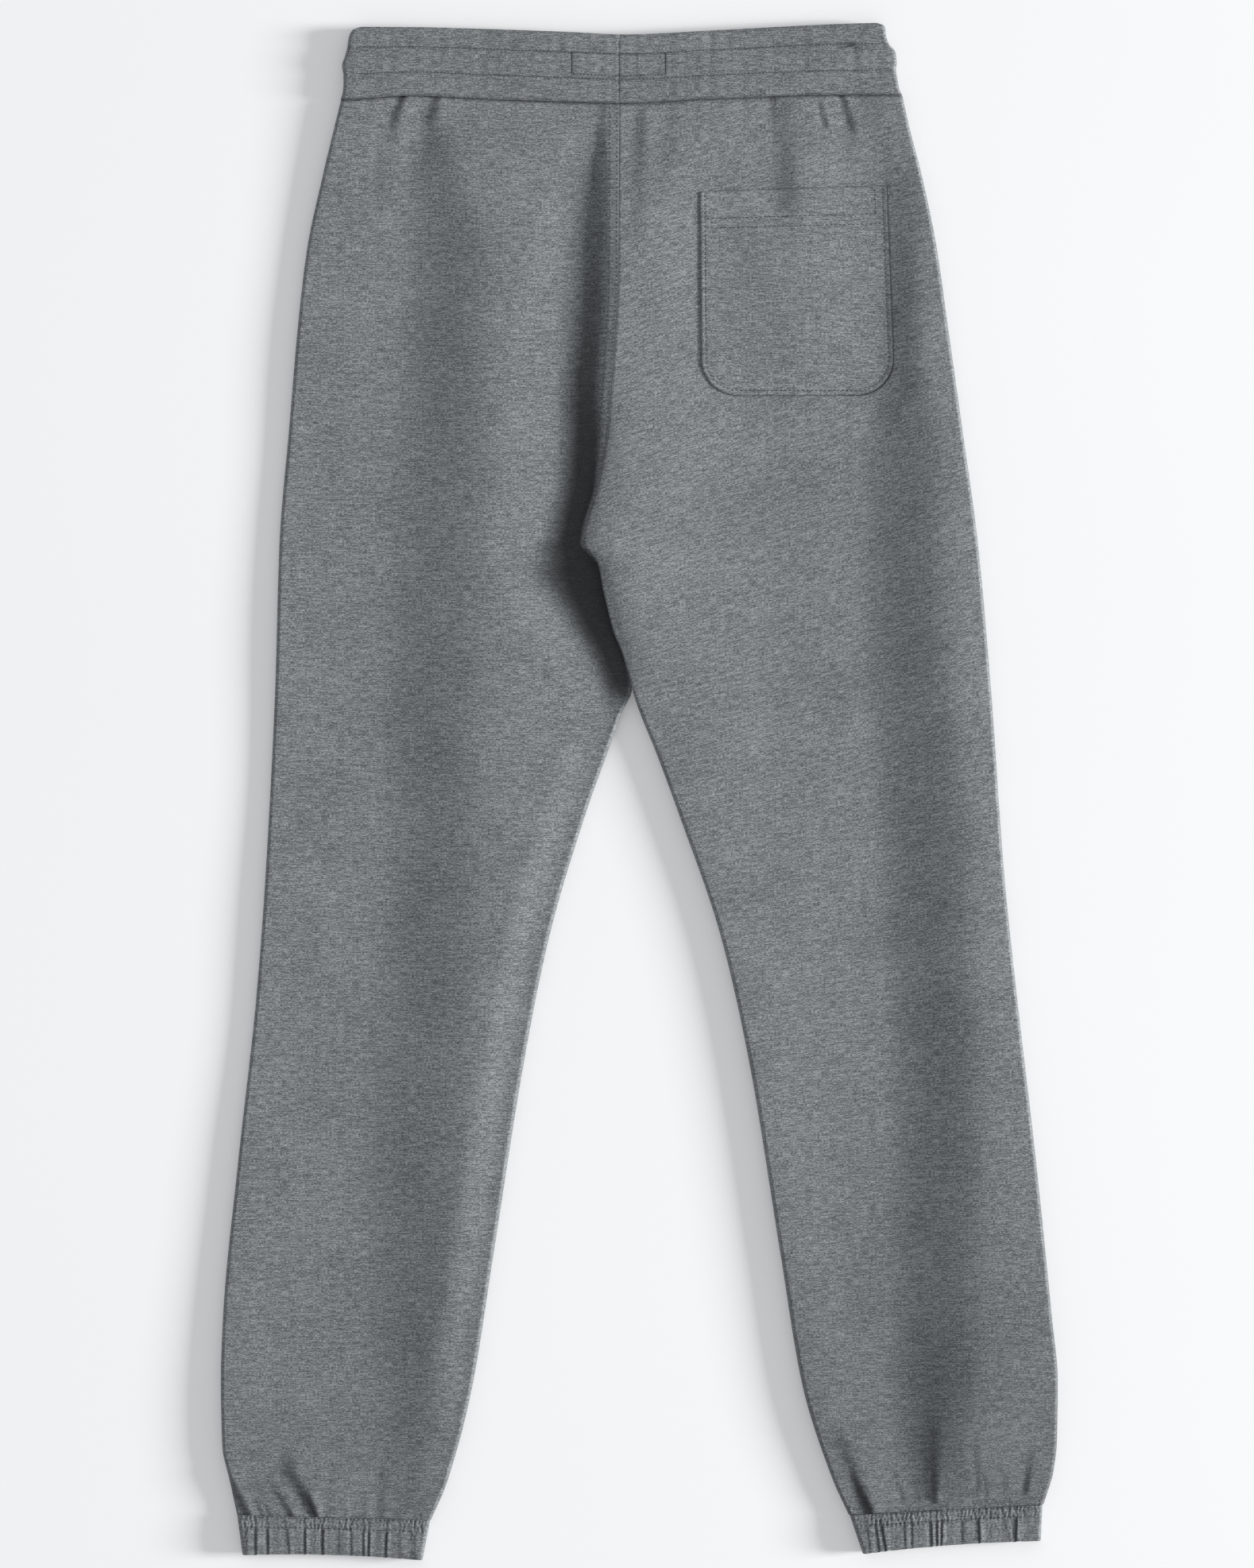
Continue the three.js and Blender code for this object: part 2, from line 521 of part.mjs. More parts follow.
// The patch pocket: the right panel's own points inside the pocket's outline, moved out
function patchPocket() {
  const depths = [];
  for (let i = 0; i < POCKET_ROWS; i += 1) {
    depths.push(mix(0, POCKET_HEIGHT - POCKET_RADIUS, i / POCKET_ROWS));
  }
  for (let i = 0; i <= CORNER_ROWS; i += 1) {
    const angle = (i / CORNER_ROWS) * (Math.PI / 2);
    depths.push(POCKET_HEIGHT - POCKET_RADIUS * (1 - Math.sin(angle)));
  }
  const outer = [];
  const inner = [];
  for (const depth of depths) {
    const intoCorner = Math.max(depth - (POCKET_HEIGHT - POCKET_RADIUS), 0);
    const inset = POCKET_RADIUS - Math.sqrt(POCKET_RADIUS ** 2 - intoCorner ** 2);
    const left = mix(POCKET.topLeft, POCKET.lowLeft, depth / POCKET_HEIGHT) + inset;
    const right = mix(POCKET.topRight, POCKET.lowRight, depth / POCKET_HEIGHT) - inset;
    const outerRow = [];
    const innerRow = [];
    for (let i = 0; i <= POCKET_COLUMNS; i += 1) {
      const x = mix(left, right, i / POCKET_COLUMNS);
      const rise = POCKET.tilt * ((x - POCKET.topLeft) / (POCKET.topRight - POCKET.topLeft));
      const below = POCKET.below + depth - rise * (1 - depth / POCKET_HEIGHT);
      const y = WAIST_SEAM - below;
      const under = layerTop(x, below, 'right') + POCKET_GAP;
      outerRow.push(new THREE.Vector3(x, y, under + CLOTH));
      innerRow.push(new THREE.Vector3(x, y, under));
    }
    outer.push(outerRow);
    inner.push(innerRow);
  }
  return wallGeometry(outer, inner);
}

const sweatpants = new THREE.Group();
sweatpants.add(pieceMesh('front_left', legPanel('left', false), COLOURS.leg));
sweatpants.add(pieceMesh('front_right', legPanel('right', false), COLOURS.leg));
sweatpants.add(pieceMesh('back_left', legPanel('left', true), COLOURS.leg));
sweatpants.add(pieceMesh('back_right', legPanel('right', true), COLOURS.leg));
sweatpants.add(pieceMesh('waistband', waistband(), COLOURS.band));
for (const cuff of CUFFS) sweatpants.add(pieceMesh(cuff.name, cuffTube(cuff), COLOURS.cuff));
sweatpants.add(pieceMesh('back_pocket', patchPocket(), COLOURS.pocket));

export default sweatpants;
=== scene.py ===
"""Jogger sweatpants in grey heather jersey, laid flat on a pale surface with the back up.

Sizes are in millimetres unless a name says otherwise. +X points to the wearer's right, +Y points to the
waist, +Z points up, and the surface is z = 0. Places along a leg are given as below, the distance below
the seam between waistband and legs.
"""
import math

import bpy
import numpy as np
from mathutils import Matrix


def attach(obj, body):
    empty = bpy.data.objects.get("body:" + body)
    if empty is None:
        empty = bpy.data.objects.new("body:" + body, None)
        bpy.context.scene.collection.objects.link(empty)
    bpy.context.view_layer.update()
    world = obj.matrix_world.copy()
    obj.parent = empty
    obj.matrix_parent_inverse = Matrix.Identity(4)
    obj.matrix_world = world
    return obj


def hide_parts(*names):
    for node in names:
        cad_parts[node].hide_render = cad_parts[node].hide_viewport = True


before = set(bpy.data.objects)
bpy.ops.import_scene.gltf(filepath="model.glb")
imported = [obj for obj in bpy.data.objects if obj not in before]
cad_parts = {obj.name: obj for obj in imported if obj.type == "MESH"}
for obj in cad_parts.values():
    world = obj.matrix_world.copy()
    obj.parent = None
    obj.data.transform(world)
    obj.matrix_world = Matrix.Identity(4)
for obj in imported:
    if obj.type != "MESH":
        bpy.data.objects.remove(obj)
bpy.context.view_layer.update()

bl_info = {
    "name": "Jogger sweatpants",
    "version": (1, 0, 0),
    "blender": (4, 5, 0),
    "location": "3D View > Sidebar > Joggers",
    "description": "Builds grey heather jogger sweatpants laid flat with the back up",
    "category": "Object",
}

MM = 0.001
LEGS = ("left", "right")

# Sizes of the laid-out garment
WAIST_SEAM = 470.0
LEG_LENGTH = 961.0
SEAM_GAP = 0.3
FRONT_DIP = 4.0
FOLD_WIDTH = 2.6
FOLD_HEIGHT = 2.7
FORK = 400.0
FORK_FOLD = 26.0
WAIST_EASE = 60.0
ANKLE_EASE = 120.0
CUFF_DEPTH = 28.0
BAND_FOLD_HEIGHT = 5.0
CUFF_FOLD_HEIGHT = 4.6


def table(columns, rows):
    """One array of numbers for each named column of a table."""
    return dict(zip(columns.split(), np.array(rows, dtype=float).T))


# Side seams: x of the folded outer edge on the left and the right
SIDES = table("below left right", [
    (0, -202.3, 179.8),
    (18, -206.8, 184),
    (51, -214.8, 193.1),
    (99, -225.1, 203.1),
    (148, -231.1, 210.1),
    (223, -237.6, 220.6),
    (300, -244.1, 231.1),
    (400, -247.1, 240.1),
    (526, -253.6, 249.1),
    (612, -260.1, 258.1),
    (720, -272.1, 270.6),
    (828, -282.6, 281.6),
    (872, -284.1, 285.6),
    (915, -283.1, 285.1),
    (938, -278.1, 282.8),
    (LEG_LENGTH, -273.1, 276.1),
])

# Middle seams: one seam down to the fork, then the two inseams that part from it, and how far the
# right leg laps over the left one above the fork
MIDDLE = table("below left right lap", [
    (0, -13, -13, 0),
    (120, -13.5, -13.5, 0),
    (175, -16.5, -16.5, 0),
    (223, -20.5, -20.5, 0),
    (262, -27.5, -27.5, 0),
    (300, -37, -37, 0),
    (315, -25, -25, 2.5),
    (337, -19, -19, 4),
    (359, -13.5, -13.5, 4),
    (380, -6.5, -6.5, 3),
    (FORK, -4, -4, 0),
    (416, -11, 1, 0),
    (440, -19.5, 10.8, 0),
    (483, -35, 26.8, 0),
    (569, -60.5, 56.3, 0),
    (656, -78, 75.8, 0),
    (785, -98.4, 96.8, 0),
    (872, -112.4, 111.3, 0),
    (936, -129.9, 131.8, 0),
    (LEG_LENGTH, -140.6, 142.9, 0),
])

# The hollow left of the middle seam and the ridge on its right. edge and ridge are the heights of the
# left and right panels at the seam; strip is a narrow band that slopes a little away from the seam,
# fall is the steep side down to the floor, flat is the floor's width, back is the slow side up again,
# and shade is the painted shade that darkens the cloth's colour there, which ends over the length fade.
HOLLOW = table("below edge ridge floor strip slope fall flat back shade fade", [
    (0, 9.0, 9.1, 8.5, 6.5, 0.02, 10, 0, 20, 0, 14),
    (29, 10.4, 10.5, 7.8, 8.5, 0.03, 6, 0, 24, 0.14, 16),
    (72, 12.0, 12.1, 6.6, 8, 0.08, 6, 2, 40, 0.32, 24),
    (110, 13.0, 13.2, 6.3, 6.5, 0.15, 8, 3, 48, 0.5, 26),
    (191, 13.6, 13.8, 6.3, 5, 0.2, 9, 6, 56, 0.85, 22),
    (240, 12.6, 13, 6.2, 0.6, 0.2, 6, 10, 56, 0.97, 20),
    (267, 11.6, 11.8, 6.2, 0.2, 0.2, 2.5, 12, 56, 1, 20),
    (296, 11.0, 11.4, 6.2, 0.2, 0.2, 2.5, 8, 56, 1, 24),
    (304, 6.2, 12.2, 6.2, 0, 0, 4, 11, 56, 1, 28),
    (321, 6.2, 14.8, 6.2, 0, 0, 4, 22, 56, 1, 34),
    (342, 6.2, 13.6, 6.2, 0, 0, 4, 18, 50, 1, 28),
    (364, 6.2, 11.6, 6.2, 0, 0, 4, 14, 44, 1, 22),
    (396, 6.2, 10.4, 6.2, 0, 0, 4, 9, 36, 0.95, 17),
    (425, 8.8, 9.2, 8.2, 0, 0, 6, 0, 26, 0, 10),
    (450, 8.8, 8.8, 8.8, 0, 0, 6, 0, 26, 0, 10),
])
RIDGE_REACH = 50.0

# Painted shade: how much darker each leg is coloured towards its ankle
ANKLE_SHADE = table("below left right", [
    (560, 0, 0),
    (635, 0.02, 0.03),
    (716, 0.04, 0.08),
    (797, 0.08, 0.16),
    (851, 0.1, 0.24),
    (905, 0.15, 0.29),
    (943, 0.18, 0.32),
    (LEG_LENGTH, 0.16, 0.26),
])

# How much thinner the right leg lies along its inseam
THIN = table("below depth", [(440, 0), (560, 1.4), (700, 3.4), (900, 3.8), (LEG_LENGTH, 1.5)])
THIN_REACH = 48.0

# The waistband's lower seam and top edge, above the nominal waist seam, across its width
WAIST_EDGES = table("x seam top", [
    (-195, 0.8, 50.2),
    (-155, 3.2, 50),
    (-103, 0.8, 48.7),
    (-45, -1, 46.6),
    (-10, -2, 45),
    (52, 1.2, 47.8),
    (139, 3.8, 52.2),
    (177, 3.8, 53.2),
])

# The waistband's folded ends and its swell between the rows of sewing, from its seam up to its edge
BAND_SECTIONS = table("up left right swell", [
    (0, -202.5, 179.5, 0),
    (0.1, -201, 177.5, 0.5),
    (0.22, -200.5, 176.5, 0.5),
    (0.34, -200.5, 175.5, 0.1),
    (0.46, -201.5, 176, 0.6),
    (0.6, -199.5, 175, 0.6),
    (0.71, -198, 170.5, 0.1),
    (0.85, -197, 168.5, 0.5),
    (0.93, -195.5, 168.2, 0.4),
    (0.97, -193.5, 167, 0.2),
    (1, -189.5, 163.5, 0.1),
])
BAND_ROWS = (0.34, 0.71)          # the two rows of sewing, as a share of the band's depth

# The long soft rise down the upper layer of each leg: x of its middle, half its width, how far the
# cloth lies below its level left of it and above it right of it, and how far each of these reaches
RISES = {
    "left": table("below x half low high reach_left reach_right", [
        (0, -136, 16, 0.4, 0.4, 50, 40),
        (30, -137, 18, 1.6, 1.2, 60, 66),
        (110, -131, 32, 3.6, 3.0, 80, 40),
        (267, -138, 36, 3.9, 3.6, 80, 44),
        (420, -142, 36, 3.9, 3.8, 90, 60),
        (526, -142, 38, 3.9, 3.8, 90, 160),
        (688, -150, 40, 3.9, 3.8, 90, 200),
        (850, -148, 38, 3.7, 3.4, 80, 160),
        (920, -150, 30, 2.0, 1.8, 50, 60),
        (LEG_LENGTH, -151, 20, 0.4, 0.3, 40, 30),
    ]),
    "right": table("below x half low high reach_left reach_right", [
        (0, 160, 20, 0.4, 0.3, 60, 30),
        (60, 176, 24, 2.0, 1.4, 70, 30),
        (110, 178, 14, 2.4, 1.5, 42, 26),
        (150, 178, 14, 2.6, 1.8, 42, 30),
        (191, 180, 19, 3.2, 3.1, 64, 37),
        (240, 181, 30, 3.8, 4.4, 94, 41),
        (364, 183, 32, 3.9, 5.2, 110, 44),
        (526, 197, 34, 3.9, 5.4, 110, 50),
        (688, 203, 34, 3.9, 6.0, 110, 80),
        (850, 201, 34, 3.9, 5.8, 100, 80),
        (920, 200, 26, 2.4, 2.6, 60, 40),
        (LEG_LENGTH, 198, 18, 0.4, 0.3, 40, 30),
    ]),
}

# Folds of the upper layer, each a soft ledge along a line from one end to the other: its half width
# and the height of its step at each end, with the higher side on the right where the step is above 0,
# and how dark the painted shade in it is
FOLD_COLUMNS = "x0 below0 x1 below1 width0 width1 step0 step1 shade"
FOLDS = {
    "left": table(FOLD_COLUMNS, [
        (-158, -2, -165.5, 15, 1.1, 2.8, 2.2, 0.7, 0.7),
        (-165.5, 15, -172, 48, 2.6, 7, 0.9, 0.6, 0.15),
        (-136, -2, -140, 12, 1.7, 2.6, 1.3, 0.9, 0.3),
        (-140, 12, -143, 34, 3, 6, 0.9, 0.7, 0.1),
        (-112, -2, -114, 18, 2, 4, 0.3, 0.1, 0),
        (-84, -2, -85, 16, 2, 4, 0.25, 0.1, 0),
        (-232, 900, -238, 930, 7, 4, 0.3, 0.7, 0),
        (-236.5, 930, -220.5, 957, 3.6, 1.5, 1.2, 2.8, 0.6),
        (-224, 947, -219.3, 959, 1.2, 1.0, 0.8, 1.4, 0.6),
        (-247, 942, -236, 960, 2.2, 1.1, 0.6, 1.5, 0.4),
        (-259, 953, -254, 964, 1.2, 0.9, 0.6, 1.1, 0.4),
        (-252.7, 955, -249.5, 964, 1.1, 0.8, 0.5, 0.9, 0.35),
        (-279, 934, -264, 963, 1.8, 1.3, 2.0, 2.6, 0.5),
        (-178.5, 930, -179.5, 962, 2.5, 2.0, -0.2, -0.5, 0),
        (-173.5, 930, -175, 962, 4.0, 2.4, 0.4, 0.9, 0.1),
        (-141.5, 930, -158, 961, 1.8, 1.1, -0.2, -0.5, 0),
        (-203, 933, -203, 960, 1.6, 1.2, -0.1, -0.3, 0),
        (-196, 933, -196.5, 960, 1.6, 1.2, -0.1, -0.3, 0),
        (-152, 872, -175.5, 941, 8, 7, 0.5, 0.7, 0),
        (-212, 944, -211, 961, 1.2, 0.9, 0.1, 0.4, 0.1),
        (-187, 944, -187.5, 961, 1.2, 0.9, 0.1, 0.3, 0),
    ]),
    "right": table(FOLD_COLUMNS, [
        (92, -2, 93, 18, 1.4, 2.2, 0.9, 0.5, 0.18),
        (100, 12, 101, 64, 5, 8, 1.3, 2.9, 0.2),
        (64, 66, 80, 118, 9, 13, 1.2, 0.5, 0),
        (124, 6, 128, 19.5, 0.7, 0.8, 0.8, 1.1, 0.6),
        (138.3, -2, 145.3, 19.5, 1.0, 1.8, 1.6, 0.9, 0.6),
        (145.3, 19.5, 146, 46, 3, 6, 0.8, 0.4, 0.1),
        (2, 14, 0.5, 84, 3.5, 5, 1.5, 0.8, 0.18),
        (24, 12, 16, 60, 4, 6, 0.6, 0.6, 0.1),
        (60, -2, 60, 18, 2, 4, 0.3, 0.1, 0),
        (160, 4, 174, 60, 5, 8, 0.5, 0.3, 0),
        (139, 912, 156, 957, 3.4, 3.0, 0.9, 2.5, 0.48),
        (147, 936, 158, 958, 1.4, 1.2, 0.5, 1.2, 0.4),
        (201, 880, 201, 940, 8, 6, 0.8, 2.2, 0.1),
        (201.3, 905, 201.4, 953, 2.2, 1.0, 0.6, 2.4, 0.45),
        (173.9, 934, 180.6, 953, 1.4, 1.0, 0.2, 0.6, 0.15),
        (229.5, 918, 231.7, 947, 1.2, 1.0, 0.4, 0.7, 0.15),
        (226, 912, 227.5, 944, 1.8, 1.4, -0.1, -0.4, 0),
        (236, 940, 237.6, 952, 1.0, 0.9, 0.3, 0.6, 0.15),
        (268, 924, 263.8, 950, 2.4, 1.3, 0.4, 1.6, 0.3),
        (218.7, 945, 218.7, 953, 0.9, 0.8, 0.2, 0.5, 0.15),
        (190, 941, 191, 954, 1.0, 0.9, 0.2, 0.4, 0.1),
        (249, 938, 250, 950, 1.0, 0.9, 0.2, 0.4, 0.1),
    ]),
}

# Pinched creases in the waistband, by x and height above its seam, each with painted shade like the folds
PINCHES = table(FOLD_COLUMNS, [
    (139.5, 31.5, 146.5, 33.2, 0.9, 1.0, -1.2, -1.6, 0.9),
    (146, 33.0, 158, 31.0, 1.6, 1.6, -0.5, -0.2, 0.2),
    (-38, 30, -37, 24, 0.9, 1.0, 0.5, 0.2, 0.2),
    (-25, 31, -26, 23, 0.9, 1.0, 0.4, 0.2, 0.1),
    (2, 31, 3, 23, 0.9, 1.0, 0.5, 0.2, 0.2),
    (9, 31, 9, 24, 0.9, 1.0, 0.4, 0.2, 0.1),
])
FOLD_REACH = 4.5                  # how many times its width a fold or pleat reaches to each side

# Cuffs: the corners of each one's upper outline, the rise of its hem's middle, the share taken by its
# shirred top, and its pleats, each a sharp ledge like the folds, with painted shade in it
PLEAT_COLUMNS = "x lean width step shade"
CUFFS = {
    "left": {
        "top": (-272.8, -491.5, -141.4, -495.0),
        "hem": (-269.3, -518.2, -146.6, -521.8),
        "bow": 2.0,
        "shirred": 0.3,
        "pleats": table(PLEAT_COLUMNS, [
            (-266.5, 0.6, 0.9, 0.4, 0.2),
            (-259.5, 0, 0.5, 0.9, 0.8),
            (-251.5, 0.3, 0.5, 1.0, 0.8),
            (-239.5, 2.8, 0.8, 0.5, 0.4),
            (-226.2, 0.2, 0.5, 1.1, 0.9),
            (-214.2, 0.2, 0.5, 1.1, 0.9),
            (-203.5, 0, 1.2, 0.3, 0.1),
            (-195, 0.5, 0.7, 0.5, 0.4),
            (-186.5, 0.2, 0.6, 0.8, 0.6),
            (-182.4, -0.4, 0.5, 1.0, 0.8),
            (-170.4, -0.8, 0.5, 1.1, 0.9),
            (-161.5, 0, 1.2, 0.3, 0.1),
            (-153, 0.5, 1.2, 0.3, 0.1),
        ]),
    },
    "right": {
        "top": (143.8, -491.5, 275.1, -484.5),
        "hem": (152.6, -517.5, 274.0, -508.6),
        "bow": 1.8,
        "shirred": 0.3,
        "pleats": table(PLEAT_COLUMNS, [
            (155, 3.0, 0.8, 0.5, 0.3),
            (161, 3.2, 0.6, 0.9, 0.6),
            (164.5, 4.2, 0.6, 1.2, 0.9),
            (181, 0.8, 0.6, 0.6, 0.5),
            (186.3, 0.4, 0.6, 0.6, 0.4),
            (199, 0.8, 0.5, 1.1, 0.9),
            (203.3, 0.2, 0.5, 1.0, 0.9),
            (206.8, -0.4, 0.5, 1.0, 0.8),
            (220.5, 0.4, 0.8, 0.4, 0.3),
            (231, 1.4, 0.5, 1.2, 0.9),
            (247, 6.0, 1.0, 0.3, 0.2),
            (252, 5.5, 0.7, 0.5, 0.3),
            (257.6, -0.8, 0.5, 1.2, 0.9),
            (265, 0, 1.2, 0.3, 0.1),
        ]),
    },
}

# Patch pocket on the right seat
POCKET_BELOW = 62.0
POCKET_TOP = (42.0, 169.5)
POCKET_FOOT = (43.0, 175.0)
POCKET_TILT = 4.3
POCKET_DEPTH = 138.5
POCKET_RADIUS = 25.0
POCKET_HEM_ROWS = (18.5, 25.0)
POCKET_LEVEL = POCKET_DEPTH - POCKET_RADIUS     # where its sides begin to round
POCKET_HEM_IN = 4.0
POCKET_SEWN_IN = 3.4
POCKET_SEWN_FROM = 1.5
POCKET_BAR = (8.6, 18)            # in from the right side, and its end below the pocket's top
BAR_LEAN = 0.04
POCKET_GAP = 0.12
POCKET_THICK = 1.0
POCKET_FULLNESS = 0.25
POCKET_FULL = (2, 30)             # how far in from the edge the fullness begins and is reached
POCKET_SINK = 0.5                 # how far the panel dips under the pocket, and how gently
POCKET_SINK_REACH = 24.0
# Painted shade on the pocket's right rim, which faces the light
RIGHT_RIM = (130, 160)            # x where the pocket's rim becomes darker, and is darkest
RIGHT_RIM_IN = 0.4

# Sewing
STITCH_LENGTH = 1.7
STITCH_PITCH = 3.0
STITCH_WIDTH = 0.6
STITCH_HEIGHT = 0.36
FINE_STITCH_PITCH = 2.4
BAR_PITCH = 0.9
STITCH_ENDS = 0.85                # the outermost ring of a stitch, as a share of half its length
STITCH_RINGS = 5
STITCH_SIDES = 6
STITCH_AHEAD = 0.6                # how far ahead and behind a stitch its direction is measured
FIRST_ROW = 1.1                   # from the seat seam to its two rows of sewing
SECOND_ROW = 6.2
SEAM_SHADOW = 0.5                 # from the seat seam to the middle of its shadow
CUFF_FIRST_ROW = 0.03
RECTANGLE = (-44.8, 18.9)         # x of the sides of the sewn rectangle at the centre back
RECTANGLE_ROWS = (0.395, 0.71)

# Slope of the jersey's grain on the right leg, which twists level towards the ankle
GRAIN_TILT = table("below tilt", [(0, 0.24), (250, 0.3), (450, 0.24), (650, 0.12), (850, 0.03)])

# Sewn lines and edges: how far the cloth is drawn down along each and over what width, and how dark it
# is coloured there, painted shade of its groove, and over what width
SEWN = {
    "leg at waist": (1.3, 1.4, 0.5, 1.0),
    "leg at ankle": (0.2, 1.6, 0, 1),
    "leg at seat": (0.3, 0.8, 0.3, 0.7),
    "second seat row": (0, 1, 0.15, 0.8),
    "band seam": (1.2, 1.3, 0.5, 1.0),
    "band row": (0.45, 1.0, 0.22, 0.8),
    "band centre": (0.2, 0.9, 0.15, 0.8),
    "band edge": (2.2, 1.5, 0, 1),
    "rectangle side": (0, 1, 0.65, 0.9),
    "rectangle row": (0, 1, 0.25, 0.8),
    "cuff seam": (0.1, 0.9, 0.06, 0.7),
    "cuff row": (0.2, 0.9, 0.12, 0.7),
    "cuff hem": (1.6, 1.4, 0, 1),
    "pocket sewing": (0.12, 0.8, 0.15, 0.6),
    "pocket hem row": (0.12, 0.8, 0.1, 0.6),
    "pocket rim": (0.3, 0.8, 0.75, 0.55),
    "right pocket rim": (0, 1, 0.7, 0.8),
    "pocket top": (0.35, 0.9, 0.45, 0.5),
}

# Where the sewing runs, how far its thread's middle stands above the cloth, and the points its paths are
# drawn with
SEAT_SEWN = (2, 297)              # below the waist seam
BAND_SEWN = (-190, 166)           # x
CUFF_SEWN = (0.06, 0.94)          # share across the cuff
STITCH_PROUD = {"seat": 0.04, "pocket": 0.04, "band": 0.05, "cuff": 0.03}
PATH_POINTS = {"seat": 400, "pocket": 120, "hem": 200, "bar": 40, "band": 400, "foot": 120, "side": 60,
               "cuff": 500}

# Painted shade beside the middle seam: on the hollow's slow side on the left, and over two widths on the
# right. Each begins and ends over a stretch of the seam.
SLOW_SIDE_SHADE = 0.85
SLOW_SIDE_STRETCH = (60, 200, 400, 450)
BESIDE_SHADES = ((0.3, 12), (0.25, 4))
BESIDE_STRETCH = (190, 240, 360, 420)
CROTCH = (296, 304)               # where the seat's sewing ends
# Painted shade on the folded sides, stronger on the right sides, which face the light
FOLDED_SIDE_SHADES = (0.05, 0.3)  # of a panel's left and right folded sides

# Gathers and ripples: their height and how far they run from the seam. A wave is its height, its pitch,
# how far its phase wanders and over what length.
ANKLE_GATHERS = 0.3
ANKLE_GATHERED = 6.0
# Painted shade in the ankle gathers: its strength and how far it runs from the seam
ANKLE_GATHERS_SHADE = (0.3, 5.0)
WAIST_WAVES = ((0.05, 9.0, 1.5, 17),)
WAIST_GATHERED = 9.0
BAND_WAVES = ((0.55, 9.3, 1.9, 23), (0.45, 14.7, 2.1, 31))
BAND_RIPPLE = (0.05, 0.06, 0.05)  # everywhere, added between the rows, and added above them
BAND_EASE = (0.06, 0.08)          # the share of its depth over which each of the added ones grows
CUFF_WAVES = ((1.0, 11.0, 2.0, 19),)
FIRMNESS = 3.0                    # how sharply the upper layer comes to rest on the lower one

# A cuff's shirred top and its pleated rest: height from its level, height of the fine gathers and the
# painted shade in them, strength of the pleats and height of the waves
CUFF_PARTS = {
    "height": (-0.8, 0.2),
    "gathers": (0.3, 0.08),
    "dark": (0.4, 0.15),
    "pleats": (0.25, 1.0),
    "waves": (0, 0.1),
}
CUFF_PART_EASE = (-0.02, 0.1)     # beside the shirred share, where the pleated part begins and is reached
CUFF_SHADE = 0.12
CUFF_CROWN = 0.62                 # the highest line, as a share of the cuff's depth
CUFF_SAG = 0.3                    # from there to the hem
CUFF_INNER_DROP = 2.2             # keeps the inner face clear below the pleats
HEM_REACH = 6.0
HEM_WAVE = 0.4                    # how far the hem follows the pleats, as a share of their height

# How finely the pieces are divided: stretches with their start, end and number of steps, and steps across
BACK_ROWS = ((0, 4, 9), (4, 40, 24), (40, 260, 74), (260, 430, 66), (430, 860, 100), (860, 955, 66),
             (955, LEG_LENGTH, 10))
FRONT_ROWS = ((0, 40, 8), (40, 260, 36), (260, 430, 40), (430, 860, 56), (860, LEG_LENGTH, 28))
BAND_STEPS_UP = ((0, 0.05, 6), (0.05, 0.3, 14), (0.3, 0.42, 12), (0.42, 0.67, 14), (0.67, 0.75, 8),
                 (0.75, 0.92, 10), (0.92, 1, 8))
CUFF_ROWS = ((0, 0.06, 4), (0.06, 0.2, 9), (0.2, 0.32, 9), (0.32, 0.9, 18), (0.9, 1, 8))
POCKET_ROWS = ((0, 2.4, 6), (2.4, 16, 8), (16, 28, 20), (28, POCKET_LEVEL, 40))
CORNER_POINTS = 40
POCKET_NEAR = np.array([0, 0.4, 0.8, 1.2, 1.8, 2.4, 2.9, 3.4, 3.9, 4.5, 5.3, 6.3])
POCKET_MIDDLE = 8.0
COLUMNS = {"back": 84, "front": 20, "band": 140, "cuff": 300, "under": 60, "pocket": 46}
NEAR_STEP = 0.19                  # the narrow columns beside a folded side, as a share of its width
LEG_FOLD_STEPS = 12
TUBE_FOLD_STEPS = 8
SHARP_ANGLE = math.radians(62)

# Spots of the heather: length and height in metres, detail, roughness, and their weights in the colour
# and in the relief
SPOTS = {
    "streaks": (0.0054, 0.0008, 2.0, 0.62, 1.35, 0.5),
    "fibres": (0.0014, 0.0005, 1.0, 0.5, 1.65, 0.5),
    "tufts": (0.018, 0.0022, 2.0, 0.5, 0.55, 0.4),
    "blotches": (0.06, 0.035, 1.0, 0.5, 0.2, 0),
}
MEAN_TONE = 0.48
FIBRE_TONES = (0.1, 0.5, 0.9)     # where the dark, the middle and the light fibre colour are reached
# The painted shade: how strongly it darkens the cloth's colour, and the colour it darkens towards
SHADE_STRENGTH = 0.9
DEEPEST_SHADE = 0.3               # of the dark fibre colour
THREAD_TONES = (0.2, 0.8)
# Painted shade: the thread is coloured this much darker than the cloth's middle grey
THREAD_SHADES = (0.2, 0.42)       # of the middle fibre colour
TWIST_LENGTH = 0.0008             # metres
CLOUD_LENGTH = 0.4                # metres
CLOUD_SHADE = 0.985               # of the board's colour

# Each slot's cloth: the name of its material, and how bright it is compared with the legs
JERSEYS = {
    "leg_jersey": ("leg_heather", 1.0),
    "waistband_jersey": ("waistband_heather", 0.97),
    "cuff_jersey": ("cuff_heather", 0.97),
    "pocket_jersey": ("pocket_heather", 1.01),
}

# Stage: the board in metres, the lens and the sensor in millimetres
BOARD_HALF = 3.0
BOARD_DROP = 0.0004
SURROUND_COLOUR = (0.96, 0.98, 1.0, 1.0)
LENS = 135.0
SENSOR = 36.0


